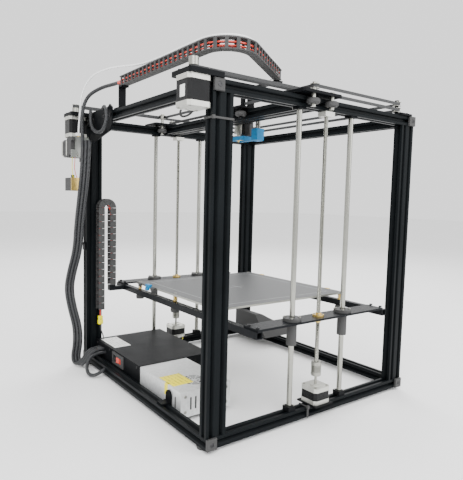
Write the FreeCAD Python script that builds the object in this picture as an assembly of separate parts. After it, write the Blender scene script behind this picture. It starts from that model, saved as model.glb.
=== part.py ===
import FreeCAD, Part
import math
import os

# A free-standing 3-D printer: a slotted-bar cube, a bed lifted by two lead screws,
# and a crossed-belt gantry with a hot end on top.  Millimetres.  X is right as seen
# from the front, the front is -Y, Z is up.  Heights below are over the underside of the
# bottom rails, and every piece is lifted by foot_height as it is written.

V = FreeCAD.Vector

# ---- overall sizes ----
frame_width = 560.0
frame_depth = 530.0
frame_height = 600.0

# ---- clearances ----
running_fit = 0.05
gap = 0.3
hole_gap = 0.1

# ---- slotted bars ----
bar = 20.0
post_cells = 2
bar_bore = 2.5
slot_mouth = 4.6
slot_throat = 3.1
slot_vee = 1.5
slot_lip = 1.8
slot_cavity = 5.5
slot_shoulder = 3.4
slot_floor = 2.8
slot_depth = 6.1
cap_thickness = 5.0
foot_height = 7.0
foot_radius = 11.0
foot_taper = 2.0
foot_inset = 25.0

# ---- vertical guides and lead screws ----
rod_radius = 5.0
rod_spacing = 140.0
clamp_length = 17.0
clamp_width = 17.0
clamp_height = 9.0
upper_clamp_height = 4.0
screw_radius = 4.0
screw_end_wall = 1.0
screw_bearing_length = 24.0
screw_bearing_width = 20.0
screw_bearing_height = 9.0
coupler_radius = 9.75
coupler_height = 28.0
coupler_lift = 19.0

# ---- motors ----
motor_size = 42.3
motor_corner = 5.0
motor_cap = 8.0
core_inset = 0.4
xy_motor_length = 48.0
z_motor_length = 32.0
feed_motor_length = 40.0
boss_radius = 11.0
boss_height = 2.0
shaft_radius = 2.5
shaft_recess = 1.0
z_plate_thickness = 3.0
z_plate_width = 50.0
z_plate_length = 48.0

# ---- belt drive ----
xy_motor_behind = 25.0
front_idler_inset = 39.0
belt_radius = 6.4
belt_thickness = 1.2
belt_width = 6.0
wheel_hub_radius = 5.5
flange_radius = 9.0
flange_thickness = 0.9
idler_height = 8.5
pulley_height = 20.0
pulley_hub_radius = 8.0
pulley_flange = 1.0
belt_side_play = 1.0
idler_lift = 0.5
washer_gap = 0.2
upper_belt_rise = 12.25
drive_plate_thickness = 8.0
drive_plate_inner = 32.6
drive_plate_outer = 24.4
drive_plate_lap = 18.0
drive_plate_corner = 3.0
idler_plate_thickness = 4.0
idler_plate_half = 22.5
idler_plate_front = 24.0
idler_plate_rear = 14.0
bolt_radius = 2.5
spacer_radius = 4.0
bolt_head_radius = 4.5
bolt_head_height = 3.5

# ---- gantry ----
wheel_radius = 12.0
wheel_rim = 2.5
wheel_half = 5.0
wheel_shoulder = 9.6
wheel_land = 0.6
wheel_side_gap = 0.5
wheel_nut_height = 4.0
outer_bite = 1.2
inner_bite = 1.8
outer_wheel_front = 9.0
outer_wheel_rear = 57.0
inner_wheel_gap = 1.5
outer_idler_y = 26.0
end_plate_thickness = 5.0
end_plate_lift = 3.0
end_plate_front = -10.0
end_plate_length = 100.0
end_plate_reach = 65.0
end_plate_overhang = 20.0
end_plate_corner = 6.0
bolt_tip = 2.0
beam_front = 9.0
beam_cells = 2
beam_gap = 2.0

# ---- carriage ----
carriage_left = -98.0
carriage_length = 118.0
carriage_front = -14.0
carriage_depth = 86.0
carriage_thickness = 4.0
carriage_lift = 1.0
carriage_bite = 1.6
carriage_wheels = (("carriage_wheel_left", -85.0, 1), ("carriage_wheel_right", 8.0, 1),
                   ("carriage_wheel_front", -40.0, -1))
clamp_inset = 7.0
clamp_block = 8.0
clamp_block_height = 22.0
clamp_block_half = 3.5
carriage_nut_height = 3.5
arm_thickness = 3.0
arm_reach = 87.0
arm_half_width = 9.0
arm_post = 6.0
arm_post_half = 5.0
nozzle_x = 6.0
nozzle_y = -6.0
nozzle_drop = 53.0
nozzle_height = 4.0
nozzle_radius = 3.5
nozzle_tip_radius = 0.8
heat_block = 20.0
heat_block_depth = 16.0
heat_block_height = 10.0
sink_core_radius = 4.0
sink_radius = 10.5
fin_count = 9
fin_pitch = 3.0
fin_thickness = 1.4
fan_size = 40.0
fan_depth = 10.5
fan_front = 22.0
fan_shift = 6.0
fan_lift = 2.0
fan_hole_radius = 18.0
fan_hole_depth = 7.0
duct_left = 30.0
duct_right = 14.0
duct_rear = 13.0
duct_inner = 11.0
duct_wall = 2.0
duct_lift = 2.0
duct_height = 9.0
throat_left = 4.0
throat_right = 8.0
throat_rear = 12.5
sensor_size = 20.0
sensor_height = 27.0
sensor_x = -56.0
sensor_y = -12.0
sensor_drop = 2.0
sensor_chamfer = 2.0
stud_radius = 2.5
stud_spacing = 8.0
stud_nut_radius = 3.2
stud_nut_lift = 8.0
stud_nut_height = 4.0

# ---- bed ----
bed_width = 350.0
bed_depth = 356.0
bed_thickness = 4.0
bed_corner = 4.0
bed_centre_y = -8.0
bed_height = 202.0
side_plate_width = 40.0
side_plate_thickness = 4.0
side_plate_front = -175.0
side_plate_rear = 168.0
side_plate_height = 188.0
tube_size = 13.0
tube_wall = 1.5
tube_spacing = 346.0
tube_overhang = 10.0
bearing_radius = 9.5
bearing_flange = 17.5
bearing_flange_height = 6.0
bearing_drop = 42.0
nut_flange = 11.0
nut_body = 5.1
nut_flange_height = 3.5
nut_drop = 8.0
nut_rise = 7.0
spring_coil_radius = 4.0
spring_wire = 0.8
spring_turns = 5
spring_play = 0.1
spring_spread = 170.0
spring_line = 170.0
thumb_nut_radius = 9.0
thumb_nut_height = 10.0
level_screw_radius = 2.0

# ---- electronics ----
supply_length = 215.0
supply_width = 115.0
supply_height = 50.0
supply_wall = 1.2
supply_left = -157.0
supply_fan_inset = 45.0
supply_fan_radius = 25.0
supply_fan_depth = 14.0
grille_radii = (20.0, 13.0, 6.0)
grille_bar = 2.0
grille_spokes = 4
fan_pin_radius = 2.0
fan_pin_drop = 5.0
fan_post_radius = 5.0
fan_hub_radius = 11.0
fan_rotor_height = 9.0
fan_blades = 7
fan_blade_half = 0.8
fan_blade_depth = 8.4
fan_blade_tilt = 50.0
fan_tip_gap = 1.5
tab_left = -125.0
tab_width = 20.0
tab_lift = 4.0
tab_shoulder = 34.0
tab_thickness = 3.0
tab_foot_gap = 4.0
box_side_gap = 2.0
box_length = 246.0
box_front = 58.0
box_height = 53.0
box_wall = 1.5
box_rear_gap = 4.5
board_left_gap = 72.0
board_front_gap = 14.0
board_length = 140.0
board_depth = 100.0
board_thickness = 1.6
standoff_height = 6.0
standoff_radius = 3.0
standoff_inset = 5.0
driver_count = 5
driver_pitch = 22.0
driver_size = 9.0
driver_inset = 20.0
driver_front = 60.0
driver_height = 12.0
socket_front = 84.0
socket_size = (15.0, 8.0)
chip_place = (30.0, 20.0)
chip_size = 20.0
inlet_left = 90.0
inlet_width = 60.0
inlet_low = 22.0
inlet_high = 50.0
inlet_flange = 3.0
inlet_depth = 20.0
inlet_rim = 3.0
mains_socket_depth = 14.0
mains_socket_half = 8.0
mains_socket_side = 4.0
mains_pin_spread = 6.0
mains_pin_rise = 3.0
mains_pin_half = (1.0, 2.0)
rocker_left = 103.0
rocker_width = 20.0
rocker_height = 12.0
rocker_axle_radius = 1.0
rocker_space = 8.0
rocker_sink = 1.5
display_width = 140.0
display_side_gap = 2.0
display_rear_inset = 59.0
display_top = 80.0
display_lean = 47.0
display_front_height = 34.0
display_ledge = 20.0
screen_thickness = 2.0
screen_border = 14.0
screen_left_border = 6.0

# ---- filament feed ----
feed_drop = 49.0
feed_height = 48.0
feed_thickness = 26.0
feed_half = 21.0
feed_base = 8.0
feed_cover = 3.0
feed_guide_rear = 8.0
feed_cover_rear = 12.0
feed_cover_ear = 18.0
feed_gear_radius = 8.5
feed_motor_drop = 3.0
feed_plate_thickness = 3.0
feed_flange_thickness = 4.0
feed_plate_drop = 6.0
feed_plate_reach = 36.0
feed_plate_inset = 2.0
fitting_radius = 4.0
cover_screw_radius = 3.0
cover_screw_height = 2.0
cover_screw_inset = 12.0
lever_pin_radius = 2.0
lever_half = 4.0
lever_offset = 17.0
lever_rise = 9.0
thumb_height = 8.0
thumb_reach = 8.0
sensor_case_drop = 175.0
sensor_case_height = 31.0
sensor_case_reach = (26.0, 16.0)
sensor_face = 3.0
sensor_stand_off = 10.0
sensor_rear_inset = 3.0
sensor_arm_half = 8.0
sensor_arm_trim = (7.0, 6.0)
sensor_knob_radius = 4.0
sensor_knob_height = 7.0
sensor_knob_inset = 12.0
ledge_height = 296.0
ledge_reach = 24.0
ledge_width = 14.0
ledge_thickness = 3.0
ledge_foot = 16.0

# ---- cable chains ----
link_pitch = 16.5
link_gap = 0.8
link_plate = 2.2
chain_thickness = 15.0
chain_height = 20.0
bracket_thickness = 3.0
bracket_foot = 26.0
bracket_shelf = 14.0
bracket_side_room = 0.5
chain_arm_drop = 14.0
chain_seat_height = 4.0
cable_plate_thickness = 3.0
cable_plate_gap = 4.0
cable_plate_outline = [(0, 8), (0, -52), (-20, -62), (-114, -44), (-126, -30), (-126, 6), (-114, 14), (-102, 8)]
top_chain_lift = 46.0
top_chain_start = 74.0
top_chain_turn_x = -240.0
top_chain_radius = 45.0
top_chain_turn = 124.4
top_chain_last = 168.0
bed_chain_gap = 0.5
bed_chain_fixed_y = 233.0
bed_chain_radius = 15.0
bed_chain_top = 385.0
bed_chain_foot = 130.0
bed_chain_end = 190.0

# ---- cables: routes chosen by eye, each corner rounded when the tube is made ----
arc_share = 0.45
harness_diameter = 8.0
harness_route = [(77, 255, 656), (115, 256, 658), (165, 268, 656), (202, 286, 640),
                 (212, 294, 600), (196, 297, 540), (200, 298, 473), (224, 297, 403),
                 (240, 298, 345), (254, 297, 282), (280, 303, 225), (296, 305, 180),
                 (280, 302, 135), (256, 297, 92), (254, 297, 50), (266, 299, 14),
                 (250, 299, -1), (232, 290, 8), (226, 272, 36), (226, 256, 40),
                 (226, 240.5, 40)]
loop_diameter = 8.0
loop_route = [(212, 272, 615), (206, 276, 585), (176, 279, 560), (132, 279, 552),
              (104, 278, 572), (108, 276, 600), (128, 274, 612), (140, 272, 606)]
feed_tube_diameter = 4.0
feed_tube_route = [(237, 292, 558), (237, 292, 573), (223, 294, 602), (212, 294, 650), (170, 286, 682),
                   (115, 272, 688), (60, 261, 684), (8, 255, 677), (-45, 255, 672), (-100, 254, 671.5),
                   (-155, 255, 671), (-205, 255, 671.5), (-248, 253, 671), (-278, 232, 671),
                   (-284, 195, 671), (-262, 163, 671)]
drop_tube_route = [(-262, 163, 671), (-229, 115, 671), (-200, 66, 671.5), (-166, 22, 672),
                   (-124, -3, 672), (-80, -9, 670), (-36, -9, 658), (-8, -7, 640), (-8, -7, 608)]

# ---- places that follow from the sizes above ----
half_width = frame_width / 2
half_depth = frame_depth / 2
half_bar = bar / 2
rod_x = half_width - half_bar
top = frame_height
rail_underside = top - bar
inner_wheel_x = half_width - bar - wheel_radius + inner_bite
pulley_x = inner_wheel_x + 2 * belt_radius
pulley_y = half_depth + xy_motor_behind
front_idler_y = -half_depth + front_idler_inset
outer_wheel_x = half_width + wheel_radius - outer_bite
wheel_z = top - half_bar
end_plate_low = top + end_plate_lift
end_plate_top = end_plate_low + end_plate_thickness
lower_belt = end_plate_top + idler_lift + idler_height / 2
upper_belt = lower_belt + upper_belt_rise
beam_rear = beam_front + bar * beam_cells
inner_wheel_y = beam_rear + wheel_radius + inner_wheel_gap
beam_top = end_plate_low
beam_end = half_width - bar - beam_gap
carriage_low = beam_top + carriage_lift
carriage_top = carriage_low + carriage_thickness
top_chain_floor = top + top_chain_lift
arm_height = top_chain_floor
clamp_left = carriage_left + clamp_inset
clamp_right = carriage_left + carriage_length - clamp_inset
front_run = outer_idler_y + belt_radius
rear_run = inner_wheel_y - belt_radius
box_rear = half_depth - bar - box_rear_gap
box_left = half_width - bar - box_side_gap - box_length
bed_chain_centre_x = half_width - bar - bed_chain_gap - chain_height / 2
display_right = half_width - bar - display_side_gap
display_left = display_right - display_width
supply_low = box_wall
supply_rear = box_rear - box_wall
z_motor_low = bar + z_plate_thickness
z_motor_top = z_motor_low + z_motor_length
coupler_low = z_motor_top + coupler_lift
coupler_top = coupler_low + coupler_height
bed_top = bed_height + bed_thickness
side_plate_top = side_plate_height + side_plate_thickness
tube_centres = [bed_centre_y - tube_spacing / 2, bed_centre_y + tube_spacing / 2]
spring_ys = [bed_centre_y - spring_line, bed_centre_y + spring_line]
rear_reach = pulley_y + motor_size / 2
side_reach = outer_wheel_x + wheel_radius
rocker_x = rocker_left + rocker_width / 2
rocker_y = box_rear + inlet_flange - rocker_sink
feed_y = pulley_y
feed_top = top - feed_drop
sensor_case_low = top - sensor_case_drop
feed_axis_z = feed_top - feed_motor_drop - motor_size / 2
feed_plate_x = side_reach - feed_motor_length - feed_flange_thickness
lever_pivot_y = feed_y + lever_offset
lever_pivot_z = feed_top - feed_height + lever_rise
nozzle_tip = top - nozzle_drop


def uprights(shape):
    """The edges of a shape that run along Z."""
    return [edge for edge in shape.Edges if abs(edge.tangentAt(0).z) > 0.9]


def block(xs, ys, zs):
    """A box between two X, two Y and two Z values."""
    size = [abs(pair[1] - pair[0]) for pair in (xs, ys, zs)]
    return Part.makeBox(size[0], size[1], size[2], V(min(xs), min(ys), min(zs)))


def round_bar(x, y, low, high, radius):
    """A vertical cylinder."""
    return Part.makeCylinder(radius, high - low, V(x, y, low))


def prism(points, low, high):
    """A flat outline in X and Y, raised from low to high."""
    corners = [V(x, y, low) for x, y in points]
    return Part.Face(Part.makePolygon(corners + corners[:1])).extrude(V(0, 0, high - low))


def turned(points):
    """A solid turned about Z from an outline of radius and height."""
    corners = [V(radius, 0, height) for radius, height in points]
    return Part.Face(Part.makePolygon(corners + corners[:1])).revolve(V(0, 0, 0), V(0, 0, 1), 360)


def moved(shape, x=0.0, y=0.0, z=0.0):
    """A copy of a shape at another place."""
    copy = shape.copy()
    copy.translate(V(x, y, z))
    return copy


def spun(shape, axis, degrees):
    """A copy of a shape turned about an axis through the origin."""
    copy = shape.copy()
    copy.rotate(V(0, 0, 0), V(*axis), degrees)
    return copy


def other_side(shape):
    """The same piece on the other side of the machine."""
    return shape.mirror(V(0, 0, 0), V(1, 0, 0))


def joined(shapes):
    """Shapes fused into one solid."""
    return shapes[0].multiFuse(shapes[1:]).removeSplitter()


def keep(node, shapes):
    """Write the solids of one named piece."""
    group = Part.makeCompound([moved(shape, z=foot_height) for shape in shapes])
    group.exportStep("parts/" + node + ".step")


# ---- frame ----
def slot_cut(length):
    """The space of one slot, opening at y = 0 towards +Y."""
    half = [(slot_mouth, 0), (slot_throat, -slot_vee), (slot_throat, -slot_lip),
            (slot_cavity, -slot_lip), (slot_cavity, -slot_shoulder), (slot_floor, -slot_depth)]
    return prism(half + [(-x, y) for x, y in reversed(half)], 0, length)


def slotted_bar(length, cells=1):
    """A slotted bar standing on z = 0, one bar wide in X and so many cells deep in Y."""
    half_cells = bar * cells / 2
    cuts = []
    for turn in (0, 180):
        cuts.append(spun(moved(slot_cut(length), y=half_cells), (0, 0, 1), turn))
    for cell in range(cells):
        y = (cell - (cells - 1) / 2) * bar
        cuts.append(round_bar(0, y, 0, length, bar_bore))
        for turn in (90, 270):
            cuts.append(moved(spun(moved(slot_cut(length), y=half_bar), (0, 0, 1), turn), y=y))
    return block((-half_bar, half_bar), (-half_cells, half_cells), (0, length)).cut(cuts)


def bar_along_x(length, y, z):
    return moved(spun(moved(slotted_bar(length), z=-length / 2), (0, 1, 0), 90), y=y, z=z)


def bar_along_y(length, x, z):
    return moved(spun(moved(slotted_bar(length), z=-length / 2), (1, 0, 0), 90), x=x, z=z)


def frame_rails():
    """Eight rails: full-width ones front and rear, with the side rails between them."""
    rails = []
    for z in (half_bar, top - half_bar):
        for side in (-1, 1):
            rails.append(bar_along_x(frame_width, side * (half_depth - half_bar), z))
            rails.append(bar_along_y(frame_depth - 2 * bar, side * rod_x, z))
    return rails


def corner_posts():
    """Four double posts between the bottom and top rails."""
    post = moved(slotted_bar(top - 2 * bar, post_cells), z=bar)
    y = half_depth - bar * post_cells / 2
    return [moved(post, side * rod_x, end * y) for side in (-1, 1) for end in (-1, 1)]


def feet_and_caps():
    """Eight square caps on the rail ends and four turned rubber feet."""
    pieces = []
    cap = block((half_width, half_width + cap_thickness), (-half_bar, half_bar), (-half_bar, half_bar))
    cap = cap.makeChamfer(1.0, [edge for edge in cap.Edges if edge.BoundBox.XMin > half_width])
    foot = turned([(0, -foot_height), (foot_radius - foot_taper, -foot_height), (foot_radius, 0), (0, 0)])
    for end in (-1, 1):
        y = end * (half_depth - half_bar)
        for z in (half_bar, top - half_bar):
            pieces.append(moved(cap, y=y, z=z))
            pieces.append(other_side(moved(cap, y=y, z=z)))
        for side in (-1, 1):
            pieces.append(moved(foot, side * (half_width - foot_inset), y))
    return pieces


# ---- vertical guides ----
def z_rods():
    """Four polished rods that guide the bed."""
    return [round_bar(side * rod_x, end * rod_spacing / 2, bar, rail_underside, rod_radius)
            for side in (-1, 1) for end in (-1, 1)]


def rod_end_blocks():
    """A clamp at each rod end, and a bearing block at the top of each lead screw."""
    pieces = []
    for side in (-1, 1):
        xs = (side * rod_x - clamp_width / 2, side * rod_x + clamp_width / 2)
        for end in (-1, 1):
            y = end * rod_spacing / 2
            ys = (y - clamp_length / 2, y + clamp_length / 2)
            hole = round_bar(side * rod_x, y, 0, top, rod_radius)
            for zs in ((bar, bar + clamp_height), (rail_underside - upper_clamp_height, rail_underside)):
                pieces.append(block(xs, ys, zs).cut(hole))
        xs = (side * rod_x - screw_bearing_width / 2, side * rod_x + screw_bearing_width / 2)
        ys = (-screw_bearing_length / 2, screw_bearing_length / 2)
        bearing = block(xs, ys, (rail_underside - screw_bearing_height, rail_underside))
        hole = round_bar(side * rod_x, 0, 0, rail_underside - screw_end_wall, screw_radius + running_fit)
        pieces.append(bearing.cut(hole))
    return pieces


def lead_screw(side):
    """A lead screw with its coupler and the motor shaft that turns it."""
    x = side * rod_x
    middle = coupler_low + coupler_height / 2
    shaft = round_bar(x, 0, z_motor_top + boss_height + gap, middle, shaft_radius)
    screw = round_bar(x, 0, middle, rail_underside - screw_end_wall - gap, screw_radius)
    coupler = round_bar(x, 0, coupler_low, coupler_top, coupler_radius).cut([shaft, screw])
    return [shaft, screw, coupler]


# ---- motors ----
def square_prism(size, corner, low, high):
    """A square post with its four corners cut off."""
    half = size / 2
    flat = half - corner
    quarter = [(half, -flat), (half, flat)]
    points = []
    for turn in range(4):
        for x, y in quarter:
            for _ in range(turn):
                x, y = -y, x
            points.append((x, y))
    return prism(points, low, high)


def motor(length):
    """A stepper motor standing on z = 0: two end caps and the core between them."""
    lower = square_prism(motor_size, motor_corner, 0, motor_cap)
    core = square_prism(motor_size - 2 * core_inset, motor_corner, motor_cap, length - motor_cap)
    upper = square_prism(motor_size, motor_corner, length - motor_cap, length)
    upper = upper.fuse(round_bar(0, 0, length, length + boss_height, boss_radius))
    hollow = round_bar(0, 0, length - shaft_recess, length + boss_height, shaft_radius + gap)
    return [lower, core, upper.cut(hollow)]


def motors():
    """Two belt motors, two lead-screw motors and the feed motor."""
    pieces = []
    for side in (-1, 1):
        for piece in motor(xy_motor_length):
            pieces.append(moved(piece, side * pulley_x, pulley_y, top - xy_motor_length))
        for piece in motor(z_motor_length):
            pieces.append(moved(piece, side * rod_x, 0, z_motor_low))
    for piece in motor(feed_motor_length):
        turned_piece = spun(piece, (0, 1, 0), -90)
        pieces.append(moved(turned_piece, side_reach, feed_y, feed_axis_z))
    return pieces


# ---- belt drive ----
def idler_core(height, flanges):
    """A toothed or plain hub with a thin flange at each height in flanges."""
    hub = Part.makeCylinder(wheel_hub_radius, height, V(0, 0, -height / 2))
    rims = [Part.makeCylinder(flange_radius, flange_thickness, V(0, 0, z)) for z in flanges]
    return joined([hub] + rims)


def idler(x, y, z):
    """A flanged belt idler that turns on a bolt."""
    edge = idler_height / 2
    wheel = idler_core(idler_height, (-edge, edge - flange_thickness))
    bore = round_bar(0, 0, -idler_height, idler_height, bolt_radius + running_fit)
    return [moved(wheel.cut(bore), x, y, z)]


def drive_pulley(side):
    """A motor pulley with its hub away from the belt, and the shaft that it sits on."""
    belt = lower_belt if side < 0 else upper_belt
    low = end_plate_top + idler_lift
    high = low + pulley_height
    half = (belt_width + belt_side_play) / 2
    rim = half + pulley_flange
    hub = (belt + rim, high) if side < 0 else (low, belt - rim)
    parts = [round_bar(0, 0, belt - half, belt + half, wheel_hub_radius)]
    for z in (belt - rim, belt + half):
        parts.append(round_bar(0, 0, z, z + pulley_flange, pulley_hub_radius))
    parts.append(round_bar(0, 0, hub[0], hub[1], pulley_hub_radius))
    pulley = joined(parts)
    shaft_top = max(high, belt + rim)
    shaft = round_bar(0, 0, top + gap, shaft_top, shaft_radius)
    return [moved(pulley.cut(shaft), side * pulley_x, pulley_y), moved(shaft, side * pulley_x, pulley_y)]


def belt_line(start, end, z):
    """A straight piece of belt along X or Y."""
    half = belt_thickness / 2
    xs = (min(start[0], end[0]), max(start[0], end[0]))
    ys = (min(start[1], end[1]), max(start[1], end[1]))
    if xs[0] == xs[1]:
        xs = (xs[0] - half, xs[0] + half)
    else:
        ys = (ys[0] - half, ys[0] + half)
    return block(xs, ys, (z - belt_width / 2, z + belt_width / 2))


def belt_wrap(centre, first, sweep, z):
    """A piece of belt round a pulley, from the angle first through sweep degrees."""
    low = V(centre[0], centre[1], z - belt_width / 2)
    outer = Part.makeCylinder(belt_radius + belt_thickness / 2, belt_width, low, V(0, 0, 1), sweep)
    inner = Part.makeCylinder(belt_radius - belt_thickness / 2, belt_width, low, V(0, 0, 1), sweep)
    ring = outer.cut(inner)
    ring.rotate(low, V(0, 0, 1), first)
    return ring


def fixed_belt(z):
    """The part of one belt that keeps its place: motor, outer run and front run."""
    motor_at = (-pulley_x, pulley_y)
    outer = -pulley_x - belt_radius
    front = front_idler_y - belt_radius
    return joined([belt_wrap(motor_at, 0, 180, z),
                   belt_line((outer, pulley_y), (outer, front_idler_y), z),
                   belt_wrap((-pulley_x, front_idler_y), 180, 90, z),
                   belt_line((-pulley_x, front), (pulley_x, front), z),
                   belt_wrap((pulley_x, front_idler_y), 270, 90, z)])


def side_belts(z):
    """The two runs of one belt that get longer or shorter as the gantry moves."""
    outer = pulley_x + belt_radius
    inner = -inner_wheel_x - belt_radius
    return [belt_line((outer, front_idler_y), (outer, outer_idler_y), z),
            belt_line((inner, inner_wheel_y), (inner, pulley_y), z)]


def gantry_belts(z, left_clamp, right_clamp):
    """The two runs of one belt along the gantry, each with its turn round an idler."""
    right = joined([belt_wrap((pulley_x, outer_idler_y), 0, 90, z),
                    belt_line((pulley_x, front_run), (right_clamp, front_run), z)])
    left = joined([belt_wrap((-inner_wheel_x, inner_wheel_y), 180, 90, z),
                   belt_line((-inner_wheel_x, rear_run), (left_clamp, rear_run), z)])
    return [right, left]


def both_belts(lower, upper):
    """A lower belt, and the upper belt that mirrors it."""
    return lower + [other_side(piece) for piece in upper]


# ---- plates and brackets ----
def drive_plate():
    """The thick plate over the rear rail that carries a belt motor."""
    plate = block((pulley_x - drive_plate_inner, pulley_x + drive_plate_outer),
                  (half_depth - drive_plate_lap, rear_reach), (top, top + drive_plate_thickness))
    plate = plate.makeFillet(drive_plate_corner, uprights(plate))
    return plate.cut(round_bar(pulley_x, pulley_y, top - 1, top + drive_plate_thickness + 1, boss_radius + gap))


def z_plate():
    """The thin plate under a lead-screw motor."""
    half = z_plate_width / 2
    reach = z_plate_length / 2
    return block((rod_x - half, rod_x + half), (-reach, reach), (bar, bar + z_plate_thickness))


def idler_plate():
    """A front corner plate with the bolt that its two idlers turn on."""
    y = front_idler_y
    low_idler = lower_belt - idler_height / 2
    high_idler = upper_belt - idler_height / 2
    last = high_idler + idler_height
    plate = block((pulley_x - idler_plate_half, pulley_x + idler_plate_half),
                  (y - idler_plate_front, y + idler_plate_rear), (top, top + idler_plate_thickness))
    return joined([plate,
                   round_bar(pulley_x, y, top, last + washer_gap, bolt_radius),
                   round_bar(pulley_x, y, top, low_idler - washer_gap, spacer_radius),
                   round_bar(pulley_x, y, low_idler + idler_height + washer_gap, high_idler - washer_gap,
                             spacer_radius),
                   bolt_head(pulley_x, y, last + washer_gap)])


def feed_plate():
    """The upright plate on the rear-right post that carries the filament feed."""
    low = feed_top - feed_height - feed_plate_drop
    plate = block((rod_x - feed_plate_reach, side_reach - feed_plate_inset),
                  (half_depth, half_depth + feed_plate_thickness), (low, feed_top))
    flange = block((feed_plate_x, feed_plate_x + feed_flange_thickness),
                   (half_depth, rear_reach), (low + feed_plate_drop, feed_top))
    hole = Part.makeCylinder(boss_radius + gap, feed_flange_thickness + 2,
                             V(feed_plate_x - 1, feed_y, feed_axis_z), V(1, 0, 0))
    return joined([plate, flange]).cut(hole)


def cable_plate():
    """The flat plate on the rear rail that the cable loop is tied to."""
    right = pulley_x - drive_plate_inner - cable_plate_gap
    plate = prism(cable_plate_outline, 0, cable_plate_thickness)
    plate = spun(plate, (1, 0, 0), 90)
    return moved(plate, right, half_depth + cable_plate_thickness, top)


def chain_bracket():
    """The upright at the fixed end of the top cable chain."""
    y = half_depth - half_bar
    ys = (y - chain_thickness / 2 - bracket_side_room, y + chain_thickness / 2 + bracket_side_room)
    right = top_chain_start + bracket_thickness
    upright = block((top_chain_start, right), ys, (top, top_chain_floor + bracket_thickness))
    foot = block((top_chain_start, top_chain_start + bracket_foot), ys, (top, top + bracket_thickness))
    shelf = block((top_chain_start - bracket_shelf, right), ys,
                  (top_chain_floor - bracket_thickness, top_chain_floor))
    return joined([upright, foot, shelf])


def supply_tab():
    """The round-topped tab that holds the power supply against the rear rail."""
    y = supply_rear + gap
    xs = (tab_left, tab_left + tab_width)
    upright = block(xs, (y, y + tab_thickness), (supply_low + tab_lift, tab_shoulder))
    centre = V(tab_left + tab_width / 2, y, tab_shoulder)
    dome = Part.makeCylinder(tab_width / 2, tab_thickness, centre, V(0, 1, 0))
    foot = block(xs, (y, half_depth - tab_foot_gap), (bar, bar + tab_thickness))
    return joined([upright, dome, foot])


def cable_ledge():
    """The small angle on the rear-right post beside the hanging harness."""
    xs = (rod_x - ledge_width / 2, rod_x + ledge_width / 2)
    shelf = block(xs, (half_depth, half_depth + ledge_reach), (ledge_height, ledge_height + ledge_thickness))
    foot = block(xs, (half_depth, half_depth + ledge_thickness), (ledge_height - ledge_foot, ledge_height))
    return joined([shelf, foot])


def mounting_plates():
    """All the black plates and brackets that are screwed to the frame."""
    pieces = [feed_plate(), cable_plate(), chain_bracket(), supply_tab(), cable_ledge()]
    for piece in (drive_plate(), z_plate(), idler_plate()):
        pieces.append(piece)
        pieces.append(other_side(piece))
    return pieces


# ---- gantry ----
def vee_wheel(x, y, z):
    """A wheel whose rim runs in a slot of a bar."""
    rim = wheel_shoulder - wheel_radius
    half = [(bolt_radius + running_fit, wheel_half), (wheel_shoulder - wheel_land, wheel_half),
            (wheel_shoulder, wheel_rim - rim), (wheel_radius, wheel_rim)]
    outline = half + [(radius, -height) for radius, height in reversed(half)]
    return [moved(turned(outline), x, y, z)]


def end_plates():
    """The plate at each end of the gantry, over the side rail."""
    outer = half_width + end_plate_overhang
    plate = block((outer - end_plate_reach, outer),
                  (end_plate_front, end_plate_front + end_plate_length), (end_plate_low, end_plate_top))
    plate = plate.makeFillet(end_plate_corner, uprights(plate))
    holes = []
    for x, y in ((outer_wheel_x, outer_wheel_front), (outer_wheel_x, outer_wheel_rear),
                 (inner_wheel_x, inner_wheel_y), (pulley_x, outer_idler_y)):
        holes.append(round_bar(x, y, end_plate_low - 1, end_plate_top + 1, bolt_radius + hole_gap))
    plate = plate.cut(holes)
    return [plate, other_side(plate)]


def gantry_beam():
    """The wide slotted bar that the carriage runs on."""
    length = 2 * beam_end
    beam = moved(slotted_bar(length, beam_cells), z=-length / 2)
    return [moved(spun(beam, (0, 1, 0), 90), y=(beam_front + beam_rear) / 2, z=beam_top - half_bar)]


def wheel_bolt(x, y, above):
    """A wheel bolt: nut, shank, spacer over the wheel, and what stands above the plate."""
    nut_top = wheel_z - wheel_half - wheel_side_gap
    return [round_bar(x, y, nut_top - wheel_nut_height, above, bolt_radius),
            round_bar(x, y, nut_top - wheel_nut_height, nut_top, bolt_head_radius),
            round_bar(x, y, wheel_z + wheel_half + wheel_side_gap, end_plate_low, spacer_radius)]


def bolt_head(x, y, z):
    return round_bar(x, y, z, z + bolt_head_height, bolt_head_radius)


def upper_spacer(x, y):
    return round_bar(x, y, end_plate_top, upper_belt - idler_height / 2 - washer_gap, spacer_radius)


def gantry_bolts():
    """The bolts and spacers that hold the gantry's wheels and idlers."""
    low_top = lower_belt + idler_height / 2 + washer_gap
    high_top = upper_belt + idler_height / 2 + washer_gap
    bolts = []
    for side in (-1, 1):
        for y in (outer_wheel_front, outer_wheel_rear):
            x = side * outer_wheel_x
            bolts.append(joined(wheel_bolt(x, y, end_plate_top) + [bolt_head(x, y, end_plate_top)]))
        inner_top, outer_top = (low_top, high_top) if side < 0 else (high_top, low_top)
        x = side * inner_wheel_x
        parts = wheel_bolt(x, inner_wheel_y, inner_top) + [bolt_head(x, inner_wheel_y, inner_top)]
        if side > 0:
            parts.append(upper_spacer(x, inner_wheel_y))
        bolts.append(joined(parts))
        x = side * pulley_x
        parts = [round_bar(x, outer_idler_y, end_plate_low - bolt_tip, outer_top, bolt_radius),
                 bolt_head(x, outer_idler_y, outer_top)]
        if side < 0:
            parts.append(upper_spacer(x, outer_idler_y))
        bolts.append(joined(parts))
    return bolts


# ---- carriage ----
def carriage_wheel_y(row):
    """The Y of a carriage wheel behind the beam (row 1) or before it (row -1)."""
    edge = beam_rear if row > 0 else beam_front
    return edge + row * (wheel_radius - carriage_bite)


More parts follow.
